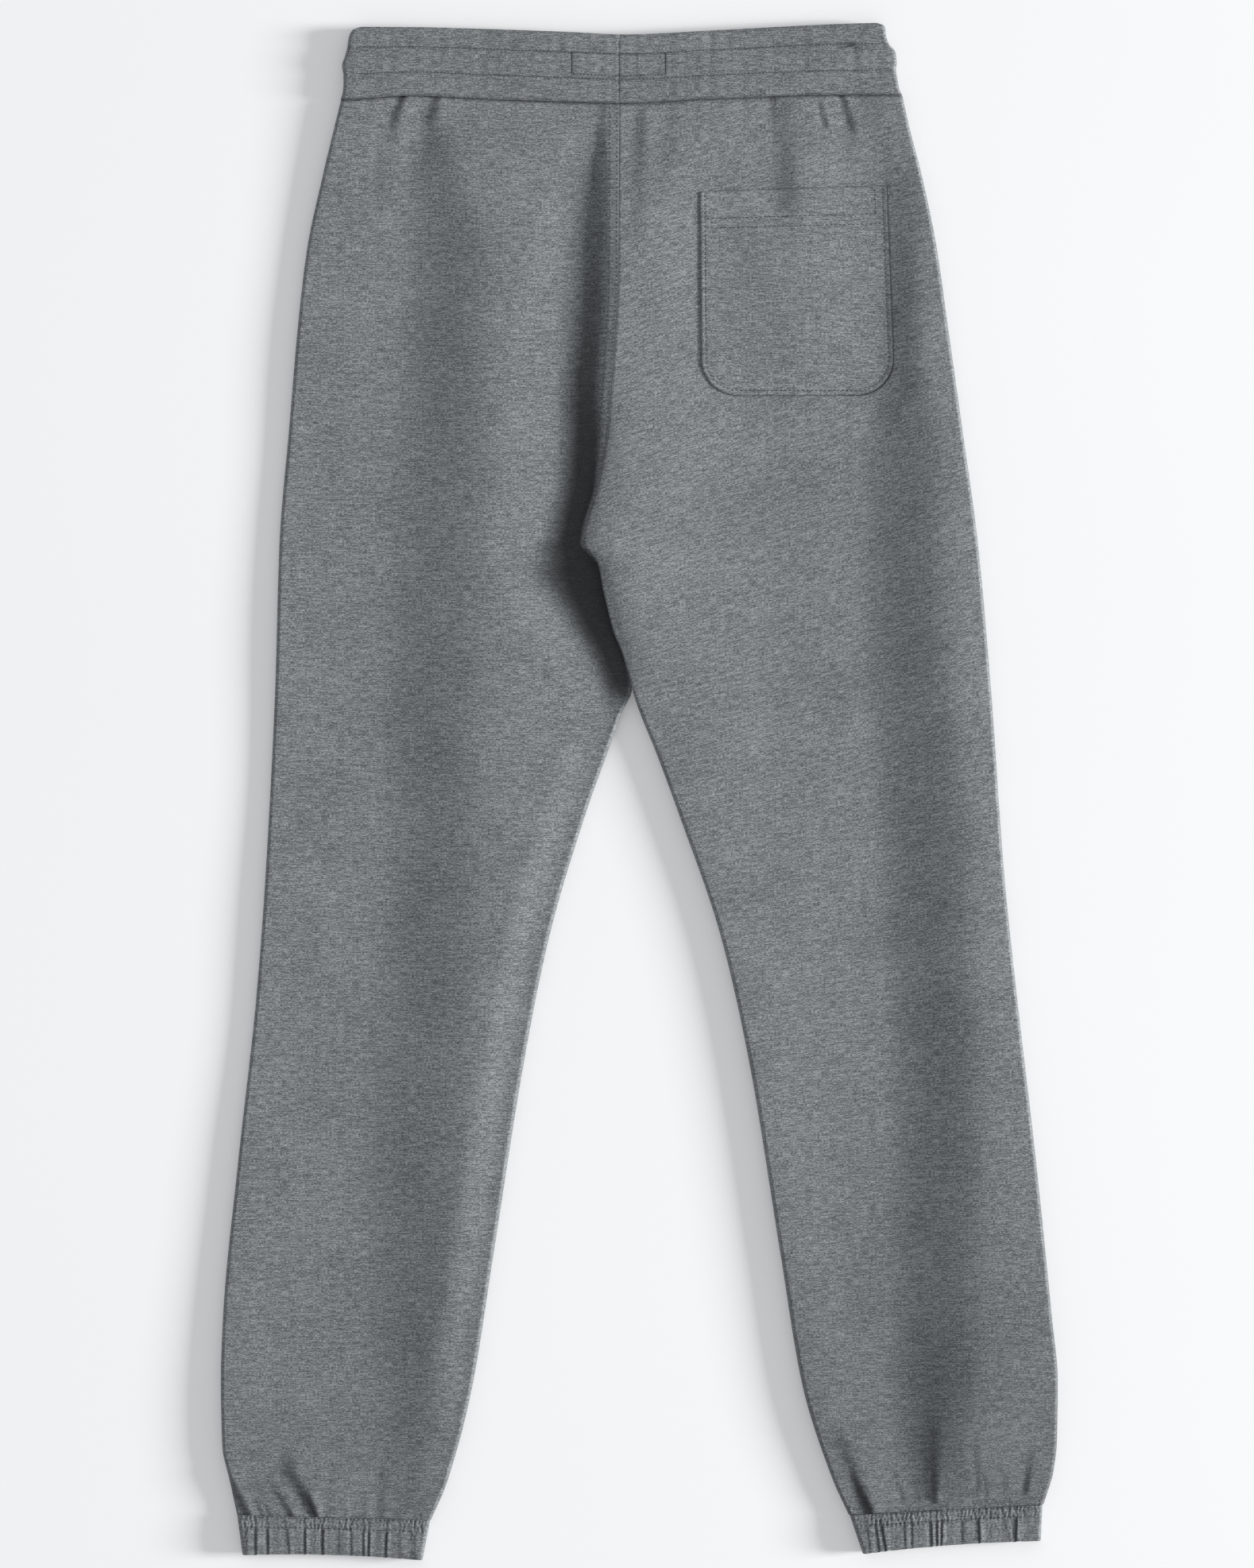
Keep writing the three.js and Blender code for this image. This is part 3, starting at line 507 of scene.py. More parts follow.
def look_up(rows, column, place, key="below"):
    """A column's value at a place: a monotone cubic through the rows, whose slope at a row is the
    harmonic mean of the slopes on its two sides, held level beyond the ends."""
    x, y = rows[key], rows[column]
    rise = np.diff(y) / np.diff(x)
    before, after = rise[:-1], rise[1:]
    same = before * after > 0
    middle = np.where(same, 2 * before * after / np.where(same, before + after, 1.0), 0.0)
    slope = np.concatenate([rise[:1], middle, rise[-1:]])
    at = np.clip(place, x[0], x[-1])
    row = np.clip(np.searchsorted(x, at, side="right") - 1, 0, len(x) - 2)
    span = x[row + 1] - x[row]
    t = (at - x[row]) / span
    return (
        (2 * t**3 - 3 * t**2 + 1) * y[row]
        + (t**3 - 2 * t**2 + t) * span * slope[row]
        + (3 * t**2 - 2 * t**3) * y[row + 1]
        + (t**3 - t**2) * span * slope[row + 1]
    )


def mix(a, b, t):
    """a where t is 0, b where t is 1, and in proportion between them."""
    return a + (b - a) * t


def bell(distance, width):
    """1 in the middle, falling as a bell curve to about a third at width."""
    return np.exp(-((distance / width) ** 2))


def ease(start, end, value):
    """0 before start, 1 after end, and a smooth step between them."""
    t = np.clip((value - start) / (end - start), 0, 1)
    return t * t * (3 - 2 * t)


def between(stretch, value):
    """1 inside a stretch and 0 outside: it begins over its first two values and ends over its last two."""
    start, full, fading, end = stretch
    return ease(start, full, value) * (1 - ease(fading, end, value))


def arch(share):
    """0 at both ends and 1 in the middle, along a parabola."""
    return 4 * share * (1 - share)


def spread(stretches):
    """Stations along a line: each stretch (start, end, steps) is cut into equal steps."""
    parts = [np.linspace(a, b, steps, endpoint=False) for a, b, steps in stretches]
    return np.append(np.concatenate(parts), stretches[-1][1])


def points_of(*coordinates):
    """Points from their coordinates, which run along the last direction."""
    return np.stack(np.broadcast_arrays(*coordinates), axis=-1)


def cloth_size(name):
    """A size of the cloth from the sidebar, in millimetres."""
    return getattr(bpy.context.scene.jogger_cloth, name) / MM


def drawn(line, distance):
    """How far the cloth is drawn down at a distance from a sewn line or an edge."""
    depth, width, _, _ = SEWN[line]
    return depth * bell(distance, width)


def dark(line, distance):
    """The painted shade at a distance from a sewn line or an edge."""
    _, _, shade, width = SEWN[line]
    return shade * bell(distance, width)


def ripple(x, pitch, wander, reach):
    """A wave of the given pitch along x, whose phase wanders so that no two waves are alike."""
    phase = wander * np.sin(x / reach) + 0.7 * wander * np.sin(x / (1.7 * reach))
    return np.sin(2 * math.pi * x / pitch + phase)


def waves(x, rows):
    """The sum of several ripples."""
    return sum(height * ripple(x, *shape) for height, *shape in rows)


def drift(x, below):
    """The slow unevenness of cloth smoothed out by hand: three crossed waves of about 60 to 120 mm."""
    return (
        0.22 * np.sin(x / 17 + 1.3 * np.sin(below / 71))
        + 0.2 * np.sin(below / 26 + 1.1 * np.sin(x / 39))
        + 0.16 * np.sin((x + 0.7 * below) / 23 + 0.8)
    )


def shirring(x, down):
    """Fine uneven gathers side by side along x, from -1 to 1, that waver on their way down."""
    coarse = ripple(x + 0.7 * np.sin(down / 1.9 + x / 3), 3.6, 1.7, 7)
    fine = ripple(x - 0.5 * np.sin(down / 1.3 + x / 4), 2.5, 1.5, 11)
    return (0.55 * coarse + 0.45 * fine) * (0.65 + 0.35 * np.sin(x / 5.3 + 2 * np.sin(x / 11)))


def ledge(across, width):
    """Half down on one side of a line and half up on the other, easing back to level on both sides."""
    return 0.5 * np.tanh(across / width) * bell(across, FOLD_REACH * width)


def ledges(folds, x, below):
    """The summed heights of the folds and the painted shade in them. Each fold is a ledge as high as
    its step, which fades beyond its two ends."""
    height = np.zeros(np.broadcast(x, below).shape)
    shade = np.zeros_like(height)
    for x0, below0, x1, below1, width0, width1, step0, step1, darkest in zip(*folds.values()):
        run_x, run_y = x1 - x0, below1 - below0
        length = math.hypot(run_x, run_y)
        along = ((x - x0) * run_x + (below - below0) * run_y) / length
        across = ((x - x0) * run_y - (below - below0) * run_x) / length
        part = np.clip(along / length, 0, 1)
        width = mix(width0, width1, part)
        beyond = np.maximum(np.maximum(-along, along - length), 0)
        step = mix(step0, step1, part) * bell(beyond, 2.5 * width)
        height += step * ledge(across, width)
        strength = np.abs(step) / max(abs(step0), abs(step1))
        shade += darkest * strength * bell(across + 0.4 * width, 1.2 * width)
    return height, shade


def leg_form(x, below, side):
    """Height of a leg's upper layer by its large forms alone: its level with the long rise, whose low and
    high sides run back to the level slowly, thinner along the right leg's inseam."""
    rows = RISES[side]
    half = look_up(rows, "half", below)
    u = x - look_up(rows, "x", below)
    up = ease(-half, half, u)
    left_reach = bell(np.maximum(-half - u, 0), look_up(rows, "reach_left", below))
    right_reach = bell(np.maximum(u - half, 0), look_up(rows, "reach_right", below))
    top = cloth_size("level") - look_up(rows, "low", below) * (1 - up) * left_reach
    top = top + look_up(rows, "high", below) * up * right_reach
    if side == "right":
        top = top - look_up(THIN, "depth", below) * bell(x - look_up(MIDDLE, side, below), THIN_REACH)
    return top


def hollow_places(below, away, rise="back"):
    """How far a point is down the hollow's steep side, and how far along its slow one, each from 0 to 1."""
    start = look_up(HOLLOW, "strip", below)
    floor = start + look_up(HOLLOW, "fall", below)
    end = floor + look_up(HOLLOW, "flat", below)
    return ease(start, floor, away), ease(end, end + look_up(HOLLOW, rise, below), away)


def seat_form(x, below, side, top):
    """Carries a leg's height up to the middle seam: on the left through the hollow beside it, on the
    right up to the ridge."""
    seam = look_up(MIDDLE, side, below)
    if side == "right":
        return top + (look_up(HOLLOW, "ridge", below) - top) * bell(np.maximum(x - seam, 0), RIDGE_REACH)
    away = seam - x
    down, back = hollow_places(below, away)
    strip = np.clip(away, 0, look_up(HOLLOW, "strip", below))
    edge = look_up(HOLLOW, "edge", below) - look_up(HOLLOW, "slope", below) * strip
    return mix(mix(edge, look_up(HOLLOW, "floor", below), down), top, back)


def cloth_top(x, below, side):
    """Height of the upper layer's outer face: its large forms, the unevenness, the short folds, the
    shirring that runs up from the cuff and the dip under the pocket, held above the lower layer."""
    top = seat_form(x, below, side, leg_form(x, below, side) + drift(x, below))
    top = top + ledges(FOLDS[side], x, below)[0]
    top = top + ANKLE_GATHERS * shirring(x, below) * bell(LEG_LENGTH - below, ANKLE_GATHERED)
    if side == "right":
        depth = pocket_depth(x, below)
        inside = np.minimum(pocket_edge_distance(x, depth), depth)
        top = top - POCKET_SINK * ease(-POCKET_SINK_REACH, 0, inside)
    top = top + waves(x, WAIST_WAVES) * bell(below, WAIST_GATHERED)
    lowest = 2 * cloth_size("thickness") + SEAM_GAP
    return lowest + np.logaddexp(0, (top - lowest) * FIRMNESS) / FIRMNESS


def cloth_shade(x, below, side):
    """Painted shade on the upper layer, darkening its colour in its folds and gathers, at its seams, beside
    the middle seam and towards the ankle."""
    shade = ledges(FOLDS[side], x, below)[1] + look_up(ANKLE_SHADE, side, below)
    shade = shade + dark("leg at waist", below)
    strength, reach = ANKLE_GATHERS_SHADE
    shade = shade + strength * np.maximum(-shirring(x, below), 0) * bell(LEG_LENGTH - below, reach)
    away = np.abs(x - look_up(MIDDLE, side, below))
    if side == "right":
        beside = sum(darkest * bell(away, width) for darkest, width in BESIDE_SHADES)
        return shade + beside * between(BESIDE_STRETCH, below)
    down, back = hollow_places(below, away)
    _, end = hollow_places(below, away, "fade")
    shade = shade + look_up(HOLLOW, "shade", below) * down * (1 - end)
    shade = shade + SLOW_SIDE_SHADE * back**2 * (1 - back) * between(SLOW_SIDE_STRETCH, below)
    seams = dark("second seat row", away - SECOND_ROW) + dark("leg at seat", away - SEAM_SHADOW)
    return shade + (1 - ease(*CROTCH, below)) * seams


def seam_rolls(below, from_middle, tuck):
    """How far the cloth turns down where it is sewn: at the waist, at the ankle and at the seat seam."""
    ends = drawn("leg at waist", below) + drawn("leg at ankle", LEG_LENGTH - below)
    return ends + (1 - tuck) * drawn("leg at seat", from_middle)


def across_stations(left, right, tuck_left, tuck_right, columns, fold_steps, near_steps=5):
    """Stations across a piece, as arrays with a row for each section. A tuck of 1 turns that edge round a
    quarter of an ellipse to the fold height, and 0 leaves it level. Gives x, how far the inner face is
    shifted inwards in wall thicknesses, and how far the point is turned towards the fold height."""
    left, right, tuck_left, tuck_right = (
        np.broadcast_to(part, len(left))[:, None] for part in (left, right, tuck_left, tuck_right))
    angle = np.linspace(0, math.pi / 2, fold_steps, endpoint=False)
    near = FOLD_WIDTH * (1 + NEAR_STEP * np.arange(near_steps))
    offset = np.concatenate([FOLD_WIDTH * (1 - np.cos(angle)), near])
    inward = np.concatenate([np.cos(angle), np.zeros(near_steps)])
    turned = np.concatenate([1 - np.sin(angle), np.zeros(near_steps)])
    reach = FOLD_WIDTH * (1 + NEAR_STEP * near_steps)
    share = np.linspace(0, 1, columns + 1)
    level = np.zeros((len(left), columns + 1))
    x = np.hstack([left + offset, mix(left + reach, right - reach, share), right - offset[::-1]])
    shift = np.hstack([tuck_left * inward, level, -tuck_right * inward[::-1]])
    turn = np.hstack([tuck_left * turned, level, tuck_right * turned[::-1]])
    return x, shift, turn


def tube_stations(left, right, *upper_parts):
    """Stations round a flattened tube: after its first upper part comes the lower layer, run backwards.
    The last array says which stations are on the upper layer."""
    under = across_stations(left, right, 1, 1, COLUMNS["under"], TUBE_FOLD_STEPS)
    parts = [upper_parts[0], [part[:, -2:0:-1] for part in under], *upper_parts[1:]]
    x, shift, turn = (np.hstack(part) for part in zip(*parts))
    upper = np.hstack([np.full(part[0].shape, number != 1) for number, part in enumerate(parts)])
    return x, shift, turn, upper


def folded_faces(x, y, face, back, fold, wall, shift, turn):
    """The outer and inner faces of a wall of cloth, which meet the fold's height at its folded sides, and
    x measured along the cloth: round a folded side, the height that it turns through is added outwards."""
    outer = points_of(x, y, mix(face, fold, turn))
    inner = points_of(x + shift * wall, y, mix(back, fold, turn))
    return outer, inner, x - np.sign(shift) * turn * np.abs(face - fold)


def waist_edge(edge, x, upper):
    """The waistband's lower seam or top edge: by its table on the back. Underneath, the seam runs straight
    across and the top edge stays below the back's."""
    if upper:
        return look_up(WAIST_EDGES, edge, x, "x")
    ends = WAIST_EDGES["x"][[0, -1]]
    share = (x - ends[0]) / (ends[1] - ends[0])
    if edge == "seam":
        return mix(*WAIST_EDGES[edge][[0, -1]], share)
    return look_up(WAIST_EDGES, edge, x, "x") - FRONT_DIP * arch(share)


def leg_y(x, below, side, upper):
    """y of a point of a leg: level rows, but the first follows the waistband's seam and the last the cuff."""
    waist = (waist_edge("seam", x, upper) - SEAM_GAP / 2) * (1 - ease(0, WAIST_EASE, below))
    x0, y0, x1, y1 = CUFFS[side]["top"]
    edge = mix(y0, y1, (x - x0) / (x1 - x0)) + SEAM_GAP / 2
    slant = (edge - (WAIST_SEAM - LEG_LENGTH)) * ease(LEG_LENGTH - ANKLE_EASE, LEG_LENGTH, below)
    return WAIST_SEAM - below + waist + slant


def grid_quads(number):
    """Faces of a grid of numbered points."""
    corners = [number[:-1, :-1], number[:-1, 1:], number[1:, 1:], number[1:, :-1]]
    return np.stack(corners, axis=-1).reshape(-1, 4)


def wall_quads(rows, columns, closed):
    """Faces of a wall between an outer grid and an inner one of the same size, closed at its edges. A
    wall that closes on itself joins its last column to its first."""
    number = np.arange(rows * columns).reshape(rows, columns)
    if closed:
        number = np.hstack([number, number[:, :1]])
    inside = rows * columns

    def strip(first, second):
        return np.stack([first, second, second + inside, first + inside], axis=-1).reshape(-1, 4)

    outer = grid_quads(number)
    parts = [outer, outer[:, ::-1] + inside]
    parts += [strip(number[0, 1:], number[0, :-1]), strip(number[-1, :-1], number[-1, 1:])]
    if not closed:
        parts += [strip(number[:-1, 0], number[1:, 0]), strip(number[1:, -1], number[:-1, -1])]
    return np.vstack(parts)


def enclosed_volume(points, quads):
    """Signed volume inside closed quads: the sum over their triangles of a . (b x c) / 6."""
    a, b, c, d = (points[quads[:, i]] for i in range(4))
    return float(np.sum(a * np.cross(b, c)) + np.sum(a * np.cross(c, d))) / 6


def link_piece(name, mesh):
    """Puts a mesh in the scene as a smooth object."""
    mesh.polygons.foreach_set("use_smooth", np.ones(len(mesh.polygons), dtype=bool))
    piece = bpy.data.objects.new(name, mesh)
    bpy.context.scene.collection.objects.link(piece)
    return piece


def wall_object(name, outer, inner, grain, shade, closed=False):
    """A cloth wall between two grids of points in millimetres, each of shape rows, columns, 3. Its faces
    point outwards. Its grain is a UV map in metres, and its painted shade an attribute from 0 to 1."""
    points = np.vstack([outer.reshape(-1, 3), inner.reshape(-1, 3)])
    quads = wall_quads(*outer.shape[:2], closed)
    if enclosed_volume(points, quads) < 0:
        quads = quads[:, ::-1]
    grain = np.vstack([grain.reshape(-1, 2)] * 2)[quads.ravel()]
    shade = np.tile(np.clip(shade, 0, 1).ravel(), 2)
    mesh = bpy.data.meshes.new(name)
    mesh.vertices.add(len(points))
    mesh.vertices.foreach_set("co", (points * MM).astype(np.float32).ravel())
    mesh.loops.add(quads.size)
    mesh.loops.foreach_set("vertex_index", quads.astype(np.int32).ravel())
    mesh.polygons.add(len(quads))
    mesh.polygons.foreach_set("loop_start", np.arange(0, quads.size, 4, dtype=np.int32))
    mesh.uv_layers.new(name="Grain").uv.foreach_set("vector", (grain * MM).astype(np.float32).ravel())
    mesh.attributes.new("shade", "FLOAT", "POINT").data.foreach_set("value", shade.astype(np.float32))
    mesh.update(calc_edges=True)
    mesh.validate()
    piece = link_piece(name, mesh)
    mesh.set_sharp_from_angle(angle=SHARP_ANGLE)
    return piece


def grain_of(x, y, below, side):
    """Cloth coordinates: x, and y less the slope of the grain, which tilts on the right leg alone."""
    tilt = look_up(GRAIN_TILT, "tilt", below) if side == "right" else 0.0
    return points_of(x, y - tilt * (x - SIDES["right"][0]))


def dress(piece, node, slot):
    """Finishes a cloth piece: its material, its CAD node, its slot and its body."""
    name, tint = JERSEYS[slot]
    piece.data.materials.append(shared_material(name, heather, tint))
    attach(piece, "root")
    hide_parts(node)


class Value:
    """A number socket of a shader tree. Arithmetic on it adds Math nodes."""

    def __init__(self, shader, socket):
        self.shader = shader
        self.socket = socket

    def _math(self, operation, first, second):
        node = self.shader.node("ShaderNodeMath", {"operation": operation}, {0: first, 1: second})
        return Value(self.shader, node.outputs[0])

    def __add__(self, other):
        return self._math("ADD", self, other)

    def __radd__(self, other):
        return self._math("ADD", other, self)

    def __sub__(self, other):
        return self._math("SUBTRACT", self, other)

    def __rsub__(self, other):
        return self._math("SUBTRACT", other, self)

    def __mul__(self, other):
        return self._math("MULTIPLY", self, other)

    def __rmul__(self, other):
        return self._math("MULTIPLY", other, self)


class Shader:
    """A material and its node tree."""

    def __init__(self, name):
        self.material = bpy.data.materials.new(name)
        self.material.use_nodes = True
        self.tree = self.material.node_tree
        self.tree.nodes.clear()

    def node(self, kind, settings=None, inputs=None):
        """Adds a node: its settings first, a ramp's stops among them, then its inputs, by name or
        number, each a value or a link."""
        node = self.tree.nodes.new(kind)
        for name, setting in (settings or {}).items():
            if name == "stops":
                self.set_stops(node.color_ramp, setting)
            else:
                setattr(node, name, setting)
        for name, item in (inputs or {}).items():
            item = item.socket if isinstance(item, Value) else item
            if isinstance(item, bpy.types.NodeSocket):
                self.tree.links.new(item, node.inputs[name])
            else:
                node.inputs[name].default_value = item
        return node

    @staticmethod
    def set_stops(ramp, stops):
        """Gives a colour ramp its stops, each a position and a colour."""
        while len(ramp.elements) < len(stops):
            ramp.elements.new(0.5)
        for element, (position, colour) in zip(ramp.elements, stops):
            element.position = position
            element.color = (*colour, 1.0)

    def value(self, kind, settings, inputs, output):
        """A node's output as a number for arithmetic."""
        return Value(self, self.node(kind, settings, inputs).outputs[output])

    def noise(self, vector, length, height, detail, roughness=0.5):
        """Noise drawn out along the grain: spots of about length by height, in metres, around 0."""
        placed = self.node(
            "ShaderNodeMapping", {"vector_type": "POINT"},
            {"Vector": vector, "Scale": (1 / length, 1 / height, 1.0)})
        drawn_out = self.value(
            "ShaderNodeTexNoise", {"noise_dimensions": "2D"},
            {"Vector": placed.outputs[0], "Scale": 1.0, "Detail": detail, "Roughness": roughness}, 0)
        return drawn_out - 0.5

    def ramp(self, tone, stops):
        """The colour that a ramp gives a tone."""
        return self.node("ShaderNodeValToRGB", {"stops": stops}, {"Fac": tone}).outputs["Color"]

    def finish(self, inputs):
        """Gives the material its surface and returns it."""
        surface = self.node("ShaderNodeBsdfPrincipled", None, inputs)
        self.node("ShaderNodeOutputMaterial", None, {"Surface": surface.outputs[0]})
        return self.material


def scaled(colour, factor):
    """A colour made brighter or darker."""
    return [factor * part for part in colour]


def heather(name, tint):
    """Grey heather jersey: dark and light fibres drawn out along the grain, soft tufts and blotches, and
    painted shade that darkens it in seams, creases and hollows. tint brightens or darkens it all."""
    cloth = bpy.context.scene.jogger_cloth
    shader = Shader(name)
    grain = shader.node("ShaderNodeUVMap", {"uv_map": "Grain"}).outputs[0]
    tone, height = MEAN_TONE, 0.0
    for *size, in_colour, in_relief in SPOTS.values():
        spots = shader.noise(grain, *size)
        tone = tone + spots * in_colour
        height = height + spots * in_relief
    fibres = (cloth.dark_fibre, cloth.middle_fibre, cloth.light_fibre)
    fibre_colour = shader.ramp(tone, [(at, scaled(fibre, tint)) for at, fibre in zip(FIBRE_TONES, fibres)])
    shade = shader.value("ShaderNodeAttribute", {"attribute_name": "shade"}, {}, "Fac")
    deepest = (*scaled(cloth.dark_fibre, DEEPEST_SHADE * tint), 1.0)
    colour = shader.node(
        "ShaderNodeMix", {"data_type": "RGBA", "blend_type": "MIX"},
        {0: shade * SHADE_STRENGTH, 6: fibre_colour, 7: deepest})
    bump = shader.node("ShaderNodeBump", None, {"Strength": 0.25, "Distance": 0.0004, "Height": height})
    return shader.finish({
        "Base Color": colour.outputs[2],
        "Roughness": 0.95,
        "Specular IOR Level": 0.15,
        "Sheen Weight": 0.12,
        "Sheen Roughness": 0.5,
        "Normal": bump.outputs[0],
    })


def thread_material(name):
    """Sewing thread, a darkened copy of the cloth's grey standing in for the shade where it sinks into the
    cloth: twisted, so its colour varies along its length.
    """
    middle = bpy.context.scene.jogger_cloth.middle_fibre
    shader = Shader(name)
    place = shader.node("ShaderNodeTexCoord").outputs["Object"]
    twist = shader.noise(place, TWIST_LENGTH, TWIST_LENGTH, 1.0)
    stops = [(at, scaled(middle, factor)) for at, factor in zip(THREAD_TONES, THREAD_SHADES)]
    colour = shader.ramp(twist + 0.5, stops)
    return shader.finish({"Base Color": colour, "Roughness": 0.7, "Specular IOR Level": 0.3})


def floor_material(name):
    """Smooth pale board with a faint unevenness, glowing in its own colour: painted light that lightens the
    shadows on it.
    """
    studio = bpy.context.scene.jogger_studio
    shader = Shader(name)
    place = shader.node("ShaderNodeTexCoord").outputs["Object"]
    cloud = shader.noise(place, CLOUD_LENGTH, CLOUD_LENGTH, 1.0)
    stops = [(0.0, scaled(studio.floor_colour, CLOUD_SHADE)), (1.0, studio.floor_colour)]
    colour = shader.ramp(cloud + 0.5, stops)
    return shader.finish({
        "Base Color": colour,
        "Roughness": 0.8,
        "Specular IOR Level": 0.1,
        "Emission Color": (*studio.floor_colour, 1.0),
        "Emission Strength": studio.board_painted_glow,
    })


def shared_material(name, make, *facts):
    """A material by its name, made the first time it is asked for."""
    return bpy.data.materials.get(name) or make(name, *facts)


def leg_grid(side, upper, below, columns):
    """The outer and inner faces of a leg panel, its grain, each point's place below the waist and the
    painted shade on its folded sides. Each row is a section across the leg: level in the middle, with the
    folded sides turned to meet the other panel half way up."""
    thick = cloth_size("thickness")
    lap = look_up(MIDDLE, "lap", below) if upper and side == "right" else np.zeros(len(below))
    edge = look_up(SIDES, side, below)
    seam = look_up(MIDDLE, side, below)
    tuck = ease(FORK, FORK + FORK_FOLD, below)
    if side == "left":
        ends = (edge, seam - SEAM_GAP / 2, 1, tuck)
    else:
        ends = (seam + SEAM_GAP / 2 - lap, edge, tuck, 1)
    x, shift, turn = across_stations(*ends, columns, LEG_FOLD_STEPS)
    down = np.broadcast_to(below[:, None], x.shape)
    y = leg_y(x, down, side, upper)
    if upper:
        top = cloth_top(x, down, side)
        from_middle = np.abs(x - (seam - lap)[:, None])
        face, back = top - seam_rolls(down, from_middle, tuck[:, None]), top - thick
        fold = FOLD_HEIGHT + SEAM_GAP / 2
    else:
        face, back = np.zeros(x.shape), np.full(x.shape, thick)
        fold = FOLD_HEIGHT - SEAM_GAP / 2
    outer, inner, along = folded_faces(x, y, face, back, fold, thick, shift, turn)
    shade = np.sqrt(turn) * np.where(shift > 0, *FOLDED_SIDE_SHADES)
    return outer, inner, grain_of(along, y, down, side), down, shade


def back_panel(side):
    """A back panel: the upper layer of a leg with its half of the seat."""
    outer, inner, grain, down, shade = leg_grid(side, True, spread(BACK_ROWS), COLUMNS["back"])
    shade = shade + cloth_shade(outer[..., 0], down, side)
    return wall_object("back_panel_" + side, outer, inner, grain, shade)


def front_panel(side):
    """A front panel: the lower layer, flat on the surface, folded up along its sides."""
    outer, inner, grain, _, shade = leg_grid(side, False, spread(FRONT_ROWS), COLUMNS["front"])
    return wall_object("front_panel_" + side, outer, inner, grain, shade)


def band_height(x, up):
    """Height of the waistband's upper face: swollen between its rows of sewing, rippled by the elastic,
    drawn down along the rows and rounded over at its two edges."""
    depth = waist_edge("top", x, True) - waist_edge("seam", x, True)
    low_row, high_row = BAND_ROWS
    row_ease, rim_ease = BAND_EASE
    between_rows = between((low_row, low_row + row_ease, high_row - row_ease, high_row), up)
    above_rows = ease(high_row, high_row + rim_ease, up)
    everywhere, middle, rim = BAND_RIPPLE
    height = cloth_size("band_level") + look_up(BAND_SECTIONS, "swell", up, "up")
    height = height + waves(x, BAND_WAVES) * (everywhere + middle * between_rows + rim * above_rows)
    height = height - sum(drawn("band row", (up - row) * depth) for row in BAND_ROWS)
    height = height - drawn("band centre", x - MIDDLE["left"][0]) + ledges(PINCHES, x, up * depth)[0]
    return height - drawn("band seam", up * depth) - drawn("band edge", (1 - up) * depth)


def band_shade(x, up, depth):
    """Painted shade on the waistband's upper face: along its centre seam, in its creases and along the
    sides and rows of the sewn rectangle."""
    shade = dark("band centre", x - MIDDLE["left"][0]) + ledges(PINCHES, x, up * depth)[1]
    in_rows = (up > RECTANGLE_ROWS[0]) & (up < RECTANGLE_ROWS[1])
    in_sides = (x > RECTANGLE[0]) & (x < RECTANGLE[1])
    shade = shade + in_rows * sum(dark("rectangle side", x - side) for side in RECTANGLE)
    return shade + in_sides * sum(dark("rectangle row", (up - row) * depth) for row in RECTANGLE_ROWS)


def waistband():
    """The waistband: one strip round the waist with its seam at the centre of the back, level
    underneath, whose sections run from the seam with the legs up to its folded edge."""
    up = spread(BAND_STEPS_UP)
    left, right = look_up(BAND_SECTIONS, "left", up, "up"), look_up(BAND_SECTIONS, "right", up, "up")
    middle = np.full(len(up), MIDDLE["left"][0])
    over_right = across_stations(middle + SEAM_GAP / 2, right, 0, 1, COLUMNS["band"], TUBE_FOLD_STEPS)
    over_left = across_stations(left, middle - SEAM_GAP / 2, 1, 0, COLUMNS["band"], TUBE_FOLD_STEPS)
    x, shift, turn, upper = tube_stations(left, right, over_right, over_left)
    rise = np.broadcast_to(up[:, None], x.shape)
    seam = np.where(upper, waist_edge("seam", x, True), waist_edge("seam", x, False)) + SEAM_GAP / 2
    edge = np.where(upper, waist_edge("top", x, True), waist_edge("top", x, False))
    y = WAIST_SEAM + mix(seam, edge, rise)
    depth = edge - seam
    wall = cloth_size("band_thickness")
    face = np.where(upper, band_height(x, rise), 0.0)
    back = np.where(upper, cloth_size("band_level") - wall, wall)
    outer, inner, along = folded_faces(x, y, face, back, BAND_FOLD_HEIGHT, wall, shift, turn)
    shade = sum(dark("band row", (rise - row) * depth) for row in BAND_ROWS)
    shade = shade + dark("band seam", rise * depth) + upper * band_shade(x, rise, depth)
    return wall_object("waistband_strip", outer, inner, points_of(along, y), shade)


def cuff_relief(side, x, down):
    """Height of a cuff's upper face and its painted shade: shirred finely between two rows of sewing, then
    smooth between uneven pleats, each a sharp ledge, and rounded over at the hem."""
    cuff = CUFFS[side]
    start, full = CUFF_PART_EASE
    pleated = ease(cuff["shirred"] + start, cuff["shirred"] + full, down)
    part = {name: mix(*values, pleated) for name, values in CUFF_PARTS.items()}
    fine = shirring(x, down * CUFF_DEPTH)
    sag = CUFF_SAG * pleated * ((down - CUFF_CROWN) / (1 - CUFF_CROWN)) ** 2
    height = cloth_size("cuff_level") + part["height"] - sag
    height = height + part["gathers"] * fine + part["waves"] * waves(x, CUFF_WAVES)
    shade = CUFF_SHADE + part["dark"] * np.maximum(-fine, 0)
    for place, lean, width, step, darkest in zip(*cuff["pleats"].values()):
        across = x - place - lean * down
        height = height + step * part["pleats"] * ledge(across, width)
        shade = shade + darkest * part["pleats"] * bell(across + 0.5 * width, 1.1 * width)
    for line, row in (("cuff seam", 0.0), ("cuff row", cuff["shirred"])):
        height = height - drawn(line, (down - row) * CUFF_DEPTH)
        shade = shade + dark(line, (down - row) * CUFF_DEPTH)
    return height - drawn("cuff hem", (1 - down) * CUFF_DEPTH), shade


def cuff_sides(side, down):
    """x of a cuff's folded left and right sides, from its seam at 0 down to its hem at 1."""
    top, hem = CUFFS[side]["top"], CUFFS[side]["hem"]
    return mix(top[0], hem[0], down), mix(top[2], hem[2], down)


